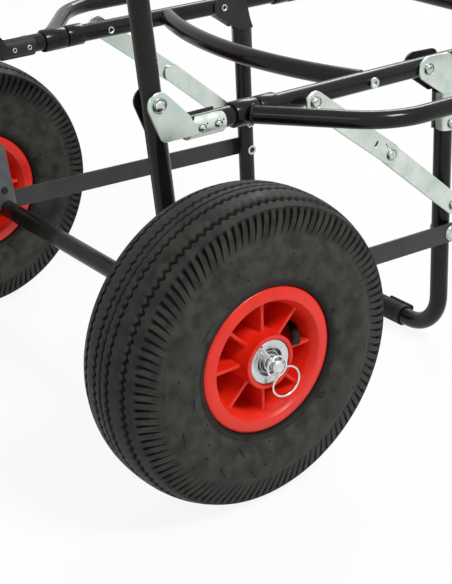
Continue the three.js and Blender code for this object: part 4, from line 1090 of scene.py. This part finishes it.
foot_weld = weld_bead(np.array([RAIL_X, AXLE_Y, AXLE_Z + TUBE_R * 0.62]), (0, LEAN, 1), TUBE_R, 1.5 * MM)
both_sides("foot_weld", [foot_weld], TUBE_PAINT, "main_frame")
print("points in a weld bead:", len(foot_weld[0]))


# %% [markdown]
# The guard's tube leaves the rear sleeve at a slant, bends to run beside the rail, and comes back the
# same way in front. So only its rear half is written down, and the front half is its mirror image.

# %% Guards with their sleeves and collars
GUARD_R = 7.5 * MM
GUARD_REACH, GUARD_BEND = 97.8 * MM, 70 * MM
GUARD_SLANT = math.tan(math.radians(39.7))
SLEEVE_LENGTH, SLEEVE_R, SLEEVE_BORE = 24 * MM, 10.8 * MM, TUBE_R + 0.4 * MM
SLEEVES_Y = (at(58), at(360))
COLLAR_LENGTH, COLLAR_R, COLLAR_BORE = 18.5 * MM, 10.5 * MM, TUBE_R - 0.2 * MM
COLLARS_Y = (at(83.4), at(340.1))
ARM_ROOT_Y = at(64.3)
BEAD_SIZE = 1.2 * MM


def rings_on_rail(places, length, outer, bore):
    """A turned ring round the rail at each place along it."""
    profile = ring_profile(length, outer, bore)[::-1]
    return [turned(profile, (RAIL_X, y, RAIL_Z), 48, axis="y") for y in places]


def guard_shells():
    """The bent tube, its two sleeves, and a weld bead where each end of the tube meets its sleeve."""
    root = SLEEVE_R * 0.85
    rear = [(RAIL_X + root, ARM_ROOT_Y + root * GUARD_SLANT, RAIL_Z),
            (RAIL_X + GUARD_REACH, ARM_ROOT_Y + GUARD_REACH * GUARD_SLANT, RAIL_Z)]
    both_middles = SLEEVES_Y[0] + SLEEVES_Y[1] + SLEEVE_LENGTH
    path = bent_path(rear + [(x, both_middles - y, z) for x, y, z in rear[::-1]], GUARD_BEND)
    shells = [tube(path, GUARD_R, (0, 0, 1), sides=36)]
    shells += rings_on_rail(SLEEVES_Y, SLEEVE_LENGTH, SLEEVE_R, SLEEVE_BORE)
    for end, towards in ((0, 1), (-1, -2)):
        direction = unit(path[0][towards] - path[0][end])
        shells.append(weld_bead(path[0][end] + direction * BEAD_SIZE, direction, GUARD_R, BEAD_SIZE))
    return shells


guard = guard_shells()
collars = rings_on_rail(COLLARS_Y, COLLAR_LENGTH, COLLAR_R, COLLAR_BORE)
both_sides("guard", guard, TUBE_PAINT, "guard_*", "side_guard_*")
both_sides("rail_collars", collars, TUBE_PAINT, "platform")
print("shells in a guard:", len(guard))


# %% [markdown]
# ## Sheet-metal cheeks
#
# The cheeks are pressed from 2 mm sheet: a flat web round the pivot, and a half round flange that wraps
# the tube. The outer ones are zinc plated and the inner ones are black. The web is a plate. The flange is
# half a ring carried along the tube, with one end cut round.

# %% The flange that wraps a tube
SHEET = 2 * MM
CLEAR = 0.3 * MM
OUT_X = RAIL_X + TUBE_R + CLEAR
IN_X = RAIL_X - TUBE_R - CLEAR - SHEET
FLANGE_BORE = TUBE_R + 0.25 * MM
FLANGE_TAPER = 7 * MM
QUARTER = 0.97


def flange(start, end, side, top=QUARTER, notch=0.0):
    """Part of a ring of sheet along a straight line, with the corners of its far end rounded.

    Point = start + run * direction + radius * (cos a * outward + sin a * other). The ring runs from
    nearly a quarter turn on one side to the top share of a quarter turn on the other. A notch draws the
    near end back on that other side: its depth grows with the angle.
    """
    start, end = np.array(start), np.array(end)
    length, direction = np.linalg.norm(end - start), unit(end - start)
    outward = OUTWARD * side
    t, s = np.linspace(-1, 1, 33), np.linspace(0, 1, 13)
    reach = length - FLANGE_TAPER * (1 - np.clip(1 - t ** 4, 0, 1) ** 0.25)
    lead = notch * np.clip((-t - 0.35) / 0.65, 0, 1) ** 1.2
    run = (lead[:, None] + s * (reach - lead)[:, None])[:, :, None] * direction
    turn = np.interp(t, (-1, 1), (-top, QUARTER)) * math.pi / 2
    ring = round_about(turn, outward, np.cross(direction, outward) * side)[:, None]
    outside, inside = (start + run + radius * ring for radius in (FLANGE_BORE + SHEET, FLANGE_BORE))
    rows, cols = len(t), len(s)
    count, skin = rows * cols, grid_faces(rows, cols)
    edge = np.concatenate([np.arange(cols), cols - 1 + cols * np.arange(1, rows),
                           (rows - 1) * cols + np.arange(cols - 2, -1, -1),
                           cols * np.arange(rows - 2, 0, -1)])
    rim = np.stack([edge, edge + count, np.roll(edge, -1) + count, np.roll(edge, -1)], axis=1)
    faces = [skin, skin[:, ::-1] + count, rim]
    return shell(np.stack([outside, inside]), turned_over(faces) if side > 0 else faces)


print("outer cheek at x", round(OUT_X, 4), "inner cheek at x", round(IN_X, 4))


# %% [markdown]
# A web is round about its pivot and runs down to the tube that it holds. It is drawn as arcs joined by
# short straight edges, from the front of the lobe over its top, down the back and along the tube.

# %% Webs of the cheeks
REAR_PIVOT = (at(-17.5), 311 * MM)
FRONT_PIVOT = (at(268.5), RAIL_Z)
REAR_LOBE, FRONT_LOBE = 10.5 * MM, 11.5 * MM


def rear_outline():
    """The rear web: a lobe round the pivot, a round lower corner, and a rising front edge."""
    y, z = REAR_PIVOT
    corner, bottom, front = 7 * MM, RAIL_Z - TUBE_R * 0.55, at(14)
    return np.concatenate([
        arc((y, z), REAR_LOBE, 42, 202, 24),
        arc((y + corner - 1.2 * MM, bottom + corner), corner, 202, 270, 8),
        [(front + 8 * MM, bottom), (front + 8 * MM, RAIL_Z + TUBE_R * 0.35),
         (front + 0.2 * MM, RAIL_Z + TUBE_R * 0.7), (front - 3 * MM, RAIL_Z + TUBE_R * 1.45)],
    ])


def front_outline():
    """The front web: a lobe round the pivot, down the leg's back, and up its front to a round corner."""
    y, z = FRONT_PIVOT
    low, edge = z - 27.3 * MM, leg_y(z)
    return np.concatenate([
        arc((y, z), FRONT_LOBE, 84, 225, 24),
        [(leg_y(low) - TUBE_R * 1.25, low), (leg_y(low) + TUBE_R * 0.9, low),
         (edge + TUBE_R * 0.6, z - 18 * MM), (edge, z + 3.5 * MM)],
        arc((edge - 8 * MM, z + 2.6 * MM), 8 * MM, 10, 84, 8),
    ])


print("corners of the webs:", len(rear_outline()), len(front_outline()))


# %% [markdown]
# An outer and an inner cheek clamp the tube between them. They share their outlines, so one table holds
# what differs: the side they sit on, their finish, and how far the rear flange wraps.

# %% Dress the cheeks
REAR_FLANGE = ((RAIL_X, at(12), RAIL_Z), (RAIL_X, at(46), RAIL_Z))
FRONT_FLANGE = tuple((RAIL_X, leg_y(z), z) for z in (258 * MM, 222 * MM))
# Where it sits, its direction, face, finish, slot, and the rear flange's top share and notch
CHEEKS = (("outer", 1, OUT_X, ZINC, "zinc", 0.62, 6.5 * MM),
          ("inner", -1, IN_X, SHEET_BLACK, "black_sheet", 0.75, 0))
for where, sign, face, paint, slot, top, notch in CHEEKS:
    rear = [plate(rear_outline(), face, face + SHEET), flange(*REAR_FLANGE, sign, top, notch)]
    front = [plate(front_outline(), face, face + SHEET), flange(*FRONT_FLANGE, sign)]
    both_sides(f"rear_cheek_skin_{where}", rear, paint, "platform", f"rear_cheek_{where}_*")
    both_sides(f"front_cheek_skin_{where}", front, paint, "front_leg", f"front_cheek_{where}_*")
print("cheeks dressed:", 4 * len(CHEEKS))


# %% [markdown]
# ## Bars and links
#
# The drag bars and stay links are flat strip with round ends. The drag bar ends in a round eye that turns
# on the axle tube. The upper link has a small slot near its knuckle, with a dark floor that paints the shade
# in it.

# %% Where the bars and links run
BAR_X = OUT_X + SHEET + CLEAR
LOWER_X = BAR_X + 3.0 * MM
UPPER_X = LOWER_X + 2.8 * MM
LINK_SHEET, BAR_SHEET = 2.5 * MM, 2.6 * MM
DRAG_PIN = (at(303.5), 121 * MM)
STAY_TOP = (at(131), RAIL_Z)
STAY_LOW = (at(301), 151 * MM)
AXLE_POINT = (AXLE_Y, AXLE_Z)
UPPER_LENGTH, KNUCKLE_RISE = 109 * MM, 2.5 * MM


def directions(start, end):
    """Unit vectors along a line and across it, a quarter turn to the left."""
    along = unit(np.subtract(end, start))
    return along, np.array([-along[1], along[0]])


def stay_middle():
    """The knuckle: the upper link's length along the line of the stay, and a little to its side."""
    along, across = directions(STAY_TOP, STAY_LOW)
    return tuple(np.array(STAY_TOP) + along * UPPER_LENGTH + across * KNUCKLE_RISE)


def strip(start, end, half):
    """A bar's outline: two half circles joined by straight edges."""
    turn = math.degrees(math.atan2(end[1] - start[1], end[0] - start[0]))
    halves = arc(end, half, turn - 90, turn + 90, 16), arc(start, half, turn + 90, turn + 270, 16)
    return np.concatenate(halves)


def between(start, end, share):
    """The point start + share * (end - start)."""
    return tuple(np.array(start) + np.subtract(end, start) * share)


STAY_MIDDLE = stay_middle()
print("knuckle at", np.round(STAY_MIDDLE, 4))


# %% [markdown]
# Each strip is cut from its two pin centres and the half width of the bar. The slot is a hole in the
# upper link, and its dark floor is a second, thinner plate inside it: painted shade in the slot.

# %% Cut the bars and links
HALF_STRIP = 9.4 * MM
SLOT_HALF, SLOT_R, SLOT_SHADE_R = 1.9 * MM, 1.05 * MM, 1.0 * MM
EYE_R, EYE_BORE = 13.5 * MM, TUBE_R + 0.5 * MM
link_run, link_across = directions(STAY_TOP, STAY_MIDDLE)
slot_place = np.array(between(STAY_TOP, STAY_MIDDLE, 0.79))
slot_ends = slot_place - link_across * SLOT_HALF, slot_place + link_across * SLOT_HALF
# A black plate inside the slot: painted shade
slot_shade_floor = plate(strip(*slot_ends, SLOT_SHADE_R), UPPER_X + 0.2 * MM, UPPER_X + LINK_SHEET - 0.4 * MM)
upper_link = plate(strip(STAY_TOP, STAY_MIDDLE, HALF_STRIP), UPPER_X, UPPER_X + LINK_SHEET,
                   [strip(*slot_ends, SLOT_R)])
lower_link = plate(strip(STAY_MIDDLE, STAY_LOW, HALF_STRIP), LOWER_X, LOWER_X + LINK_SHEET)
eye_outline, eye_hole = (arc(AXLE_POINT, radius, 0, 352.5, 47) for radius in (EYE_R, EYE_BORE))
eye = plate(eye_outline, BAR_X, BAR_X + BAR_SHEET, [eye_hole])
bar_start = between(AXLE_POINT, DRAG_PIN, 0.036)
drag_bar = plate(strip(bar_start, DRAG_PIN, HALF_STRIP), BAR_X, BAR_X + BAR_SHEET)
both_sides("drag_bar_skin", [eye, drag_bar], BAR_PAINT, "drag_bars", "drag_bar_*")
both_sides("upper_link", [upper_link], ZINC, "upper_stays", "stay_upper_link_*")
both_sides("lower_link", [lower_link], ZINC, "lower_stays", "stay_lower_link_*")
print("length of the upper link", round(math.dist(STAY_TOP, STAY_MIDDLE), 4))


# %% [markdown]
# ## Pins and rivets
#
# A rivet is a low dome on a narrow washer. A pivot is larger and its dome stands in a rolled ring. One
# profile serves them all, since it takes its lengths from the built pin's box.

# %% Turn the pins
def dome(radius, height, steps=7):
    """A low dome from its rim in to its top: height follows the cosine, radius the sine."""
    a = np.linspace(math.pi / 2, 0.04, steps)
    return np.column_stack([height * np.cos(a), radius * np.sin(a)])


def pin_shell(node, under_head, dome_share=0.8, foot_share=0.66):
    """The tail is a ring round a drilled centre. The dome rises from a groove inside the head's rim.

    All lengths are shares of the head's radius and of its height above the sheet under it.
    """
    low, high = span(node)
    head = (high[2] - low[2]) / 2
    seat_x = under_head + 0.25 * MM
    height = high[0] - seat_x
    rim, foot = height * 0.42, head * foot_share
    foot_x = low[0] + height * 0.6
    if low[0] < IN_X:
        foot_x = min(foot_x, IN_X - 0.2 * MM)
    tail, eased = low[0], low[0] + 0.3 * MM
    drilled = tail + min(4 * MM, (high[0] - tail) * 0.4)
    crown_part = dome(head * dome_share, height - rim * 0.2) + [seat_x + rim * 0.2, 0]
    profile = np.concatenate([
        [(drilled, 0.05 * MM), (drilled, foot * 0.5), (eased, foot * 0.56), (tail, foot * 0.68),
         (tail, foot * 0.86), (eased, foot), (foot_x, foot), (foot_x, head * 0.5), (seat_x, head * 0.5),
         (seat_x, head), (seat_x + rim * 0.7, head), (seat_x + rim, head * 0.97),
         (seat_x + rim * 0.8, head * 0.93), (seat_x + rim * 0.15, head * 0.9),
         (seat_x + rim * 0.1, head * (dome_share + 0.01))],
        crown_part])
    return turned(profile[::-1], (0, *middle(node)[1:]), 40)


PINS = ("rear_rivet_1", "rear_rivet_2", "rear_pivot", "stay_top_pin", "front_rivet", "front_pivot",
        "drag_pin", "stay_low_pin", "stay_middle_pin")
bodies = frame["record"]["behaviour"]["bodies"]
node_body = {node: body for body, nodes in bodies.items() for node in nodes}
# The outside face of what lies under each head, where that isn't the cheek
under_heads = {"stay_top_pin": UPPER_X + LINK_SHEET, "stay_middle_pin": UPPER_X + LINK_SHEET,
               "stay_low_pin": LOWER_X + LINK_SHEET, "drag_pin": BAR_X + BAR_SHEET}
for name in PINS:
    pin = pin_shell(f"{name}_near", under_heads.get(name, OUT_X + SHEET))
    both_sides(f"turned_{name}", [pin], RIVET_ZINC, node_body[f"{name}_near"], f"{name}_*")
print("pins turned:", 2 * len(PINS))


# %% [markdown]
# ## Bolts and small marks
#
# The socket-head bolts have a drum with a recess in its end. The foot plates and their bolts keep their
# built shape, which is already right, and only take a finish. The plates take a darker zinc: painted shade.

# %% Socket bolts
def socket_bolt(node, reach=0.5 * MM):
    """Shank, drum and socket in one profile. The drum's outer edge is cut back by the reach."""
    low, high = span(node)
    head, end = (high[2] - low[2]) / 2, high[0]
    seat_x = RAIL_X + TUBE_R + 0.25 * MM
    profile = [(low[0], head * 0.55), (seat_x, head * 0.55), (seat_x, head * 0.97),
               (seat_x + 0.3 * MM, head), (end - reach, head),
               (end - reach * 0.3, head - reach * 0.3), (end, head - reach),
               (end, head * 0.52), (end - 1.8 * MM, head * 0.5), (end - 2.0 * MM, head * 0.05)]
    return turned(profile[::-1], (0, *middle(node)[1:]), 40)


bolt = socket_bolt("cross_bolt_near")
both_sides("socket_bolt", [bolt], ZINC, node_body["cross_bolt_near"], "cross_bolt_*")
for side in SIDES:
    frame["nodes"][f"foot_plate_bolt_{side}"].data.materials[0] = SHEET_BLACK
    # The foot plates take the darker copy of the zinc: painted shade
    frame["nodes"][f"foot_plate_{side}"].data.materials[0] = SHADED_ZINC
print("bolts and foot plates finished:", 3 * len(SIDES))


# %% [markdown]
# The rear cheeks and the upper links carry a few small dark marks, whose darkness is shade. A hole through
# the sheet would show the light behind it, so each mark is a thin dark disc that stands a little proud:
# painted shade.

# %% Small marks of painted shade
# The cheek's mark, ahead of a rivet and above it, and the link's marks, back from the knuckle and aside
CHEEK_MARK, LINK_MARKS = (5.1 * MM, 2.3 * MM), ((11.9, 4.9), (9.6, 3.9))
WRAP_R = TUBE_R + 2.25 * MM


def shade_dot(x, y, z, radius=0.75):
    """A small drilled mark: a dark disc of painted shade that stands 0.1 mm proud of the sheet."""
    return turned(np.array([(0.1, 0.1), (0.1, radius), (-0.4, radius)]) * MM, (x, y, z), 12)


cheek_shade_dots = []
for name in ("rear_rivet_1", "rear_rivet_2"):
    y, z = middle(f"{name}_near")[1:] + CHEEK_MARK
    cheek_shade_dots.append(shade_dot(RAIL_X + math.sqrt(WRAP_R ** 2 - CHEEK_MARK[1] ** 2), y, z))
link_shade_dots = []
for run, across in LINK_MARKS:
    y, z = np.array(STAY_MIDDLE) + (link_across * across - link_run * run) * MM
    link_shade_dots.append(shade_dot(UPPER_X + LINK_SHEET, y, z))
both_sides("cheek_marks", cheek_shade_dots, SHEET_BLACK, "platform")
both_sides("link_shade_marks", [*link_shade_dots, slot_shade_floor], SHEET_BLACK, "upper_stays")
print("marks on each side:", len(cheek_shade_dots) + len(link_shade_dots))


# %% [markdown]
# ## Foot sleeve
#
# The sleeve on the leg's lower bar is moulded rubber: fine ribs all round, with a smooth band at each end
# and a raised strip along its face at each end. A bump texture could draw the ribs, but as part of the
# turned profile they also show in the outline.

# %% Ribbed sleeve
SLEEVE = middle("foot_sleeve")
sleeve_high = span("foot_sleeve")[1]
SLEEVE_HALF, SLEEVE_OUT = sleeve_high[0], 10.5 * MM
RIB_PITCH, RIB_DEPTH, RIB_STEPS = 2.6 * MM, 0.55 * MM, 6
BAND, BAND_EASE = 5 * MM, 0.4 * MM
LIP_LENGTH, LIP_WIDTH, LIP_HEIGHT, LIP_RISE = 34, 1.5 * MM, 3.0 * MM, 4.2 * MM


def sleeve_profile():
    """Radius along the sleeve: a cosine ripple between two smooth bands, closed by the bore."""
    count = int(round((2 * SLEEVE_HALF - 2 * BAND) / RIB_PITCH)) * RIB_STEPS
    s = np.linspace(-SLEEVE_HALF + BAND, SLEEVE_HALF - BAND, count + 1)
    wave = 0.5 - 0.5 * np.cos(2 * math.pi * np.arange(count + 1) / RIB_STEPS)
    ripple = np.column_stack([s, SLEEVE_OUT - RIB_DEPTH * wave ** 0.7])
    end = np.array([(SLEEVE_HALF, TUBE_R + 0.2 * MM), (SLEEVE_HALF, SLEEVE_OUT - BAND_EASE),
                    (SLEEVE_HALF - BAND_EASE, SLEEVE_OUT)])
    return np.concatenate([end * [-1, 1], ripple, end[::-1], end[:1] * [-1, 1]])


def squared(wave):
    """A wave between -1 and 1 pushed out towards a square: its size to the power 0.6, its sign kept."""
    return np.abs(wave) ** 0.6 * np.sign(wave)


def lip_shell(x0, x1):
    """A raised strip along the sleeve: a rounded bar whose section grows in from both ends."""
    s = np.array([0, 0.6, 2.0, 32.0, 33.4, 34.0]) / LIP_LENGTH
    grow = np.array([0.35, 0.8, 1, 1, 0.8, 0.35])[:, None]
    angle = circle(16)
    x = np.repeat((x0 + (x1 - x0) * s)[:, None], len(angle), axis=1)
    y = sleeve_high[1] - LIP_WIDTH - 0.6 * MM + LIP_WIDTH * grow * squared(np.cos(angle))
    z = SLEEVE[2] + LIP_RISE + LIP_HEIGHT * grow * squared(np.sin(angle))
    return shell(np.stack([x, y, z], axis=-1), capped(len(s), len(angle)))


sleeve = turned(sleeve_profile()[::-1], (0, FOOT_Y, FOOT_Z), 64)
lip = lip_shell(SLEEVE_HALF - LIP_LENGTH * MM, SLEEVE_HALF - 0.5 * MM)
add_piece("ribbed_foot_sleeve", [sleeve, lip, flipped(lip)], RUBBER, "front_leg", ("foot_sleeve",))
print("sleeve length", round(2 * SLEEVE_HALF, 4))


# %% [markdown]
# ## Grip
#
# The grip on the push frame's upper bar is a length of foam tube. Foam gives a little where it is cut, so
# its ends are drawn in over a few millimetres.

# %% Foam grip
GRIP_BORE = TUBE_R - 0.1 * MM
grip_low, grip_high = span("push_grip")
grip_radius, grip_end = (grip_high[2] - grip_low[2]) / 2, grip_high[0]
grip_profile = both_ends([(grip_end, GRIP_BORE), (grip_end - 0.3 * MM, grip_radius - 3 * MM),
                          (grip_end - 1.5 * MM, grip_radius - 1 * MM), (grip_end - 4 * MM, grip_radius)])
grip_profile = np.concatenate([grip_profile, grip_profile[:1]])
grip_skin = turned(grip_profile[::-1], GRIP, 64)
add_piece("foam_grip", [grip_skin], FOAM, "main_frame", ("push_grip",))
print("grip length", round(2 * grip_end, 4))


# %% [markdown]
# ## Floor and backdrop
#
# A pale floor and a pale world stand for a studio sweep. The camera sees them as white, but the light
# that they give stays gentle. The Light Path node tells the two kinds of ray apart, which is cheaper than
# a real paper sweep and never throws extra light on the trolley.

# %% Floor and world
FLOOR_WHITE, FLOOR_TONE, FLOOR_SIZE = 0.9, (0.86, 0.86, 0.86, 1), 40
SKY_TONE, SKY_STRENGTH = (0.95, 0.97, 1, 1), 0.3


def sheet_floor(size):
    """A flat square at height 0 that reaches the size to each side."""
    mesh = bpy.data.meshes.new("floor")
    corners = [(-size, -size, 0), (size, -size, 0), (size, size, 0), (-size, size, 0)]
    mesh.from_pydata(corners, [], [(0, 1, 2, 3)])
    return bpy.data.objects.new("floor", mesh)


def seen_directly(tree, amount):
    """The given amount for rays that show the picture, straight or by way of a mirror or glass, else 0."""
    kind = add_node(tree, "LightPath").outputs
    total = kind["Is Camera Ray"]
    for label in ("Is Glossy Ray", "Is Transmission Ray"):
        total = add_node(tree, "Math", {0: total, 1: kind[label]}, operation="ADD").outputs[0]
    return add_node(tree, "Math", {0: total, 1: amount}, operation="MULTIPLY").outputs[0]


def show_white(tree, amount, lit, white, output):
    """Mixes in the white shader by the amount, for rays that show the picture, ahead of the output."""
    mix = add_node(tree, "MixShader", {"Fac": seen_directly(tree, amount)})
    feed(tree, mix, {1: lit.outputs[0], 2: white.outputs[0]})
    feed(tree, tree.nodes[output], {"Surface": mix.outputs[0]})


floor = sheet_floor(FLOOR_SIZE)
bpy.context.scene.collection.objects.link(floor)
floor_paint = bpy.data.materials.new("Pale floor")
floor_paint.use_nodes = True
tree = floor_paint.node_tree
plain = tree.nodes["Principled BSDF"]
feed(tree, plain, {"Base Color": FLOOR_TONE, "Roughness": 0.6})
white = add_node(tree, "Emission", {"Color": WHITE, "Strength": 1})
show_white(tree, FLOOR_WHITE, plain, white, "Material Output")
floor.data.materials.append(floor_paint)

world = bpy.data.worlds.new("Studio")
bpy.context.scene.world = world
world.use_nodes = True
tree = world.node_tree
sky = tree.nodes["Background"]
feed(tree, sky, {"Color": SKY_TONE, "Strength": SKY_STRENGTH})
white = add_node(tree, "Background", {"Color": WHITE, "Strength": 1})
show_white(tree, 1, sky, white, "World Output")
print("floor and world ready:", floor_paint.name, world.name)


# %% [markdown]
# ## Lamps
#
# Soft boxes are what a product photographer would use for gloss tube: their long edges draw the
# highlights along it. One key lamp above gives most of the light, a weak one near the camera fills the
# shadows, and one beyond the far wheel picks out the edges.

# %% Lamps
AIM = (0, 0, 0.2)


def soft_lamp(name, place, size, power):
    """A rectangular area lamp that looks from its place to the aim."""
    data = bpy.data.lights.new(name, "AREA")
    data.shape = "RECTANGLE"
    data.size, data.size_y = size
    data.energy = power
    lamp = bpy.data.objects.new(name, data)
    lamp.location = place
    lamp.rotation_euler = (Vector(AIM) - Vector(place)).to_track_quat("-Z", "Y").to_euler()
    bpy.context.scene.collection.objects.link(lamp)


soft_lamp("key", (2.0, 0.3, 2.8), (0.8, 0.8), 78)
soft_lamp("fill", (1.4, -2.0, 1.5), (0.8, 0.5), 5)
soft_lamp("rim_light", (-1.2, 1.6, 1.8), (0.9, 0.7), 24)
print("lamps:", len(bpy.data.lights))


# %% [markdown]
# ## Camera
#
# The camera stands to the side of the near wheel, behind it and half a metre above it, and looks down
# across it towards the leg. Its place, its three angles and its focal length were fitted to points
# measured in the photograph, so they are odd numbers.
# The fit gives the focal length in pixels, and the lens in millimetres is the sensor's width times the
# ratio of that to the photograph's longer side.

# %% Camera
VIEW_TURN, VIEW_RISE, VIEW_ROLL = 0.93719, 0.43911, -0.02523
VIEW_PLACE = (1.01721, -0.58801, 0.6358)
FOCAL_PIXELS, PHOTO_HEIGHT, SENSOR = 1402.47, 584, 36
back = np.array([math.sin(VIEW_TURN) * math.cos(VIEW_RISE), -math.cos(VIEW_TURN) * math.cos(VIEW_RISE),
                 math.sin(VIEW_RISE)])
level = np.array([math.cos(VIEW_TURN), math.sin(VIEW_TURN), 0])
rise = np.cross(back, level)
right = level * math.cos(VIEW_ROLL) + rise * math.sin(VIEW_ROLL)
upward = rise * math.cos(VIEW_ROLL) - level * math.sin(VIEW_ROLL)
lens = bpy.data.cameras.new("photo_view")
lens.sensor_fit = "AUTO"
lens.sensor_width = SENSOR
lens.lens = SENSOR * FOCAL_PIXELS / PHOTO_HEIGHT
camera = bpy.data.objects.new("photo_view", lens)
bpy.context.scene.collection.objects.link(camera)
rotation = np.column_stack([right, upward, back])
place = np.array(VIEW_PLACE) + (0, AXLE_Y, 0)
camera.matrix_world = Matrix([[*rotation[i], place[i]] for i in range(3)] + [[0, 0, 0, 1]])
bpy.context.scene.camera = camera
bpy.context.scene.view_settings.view_transform = "Standard"
print("lens", round(lens.lens, 2), "mm, camera at", np.round(place, 4))
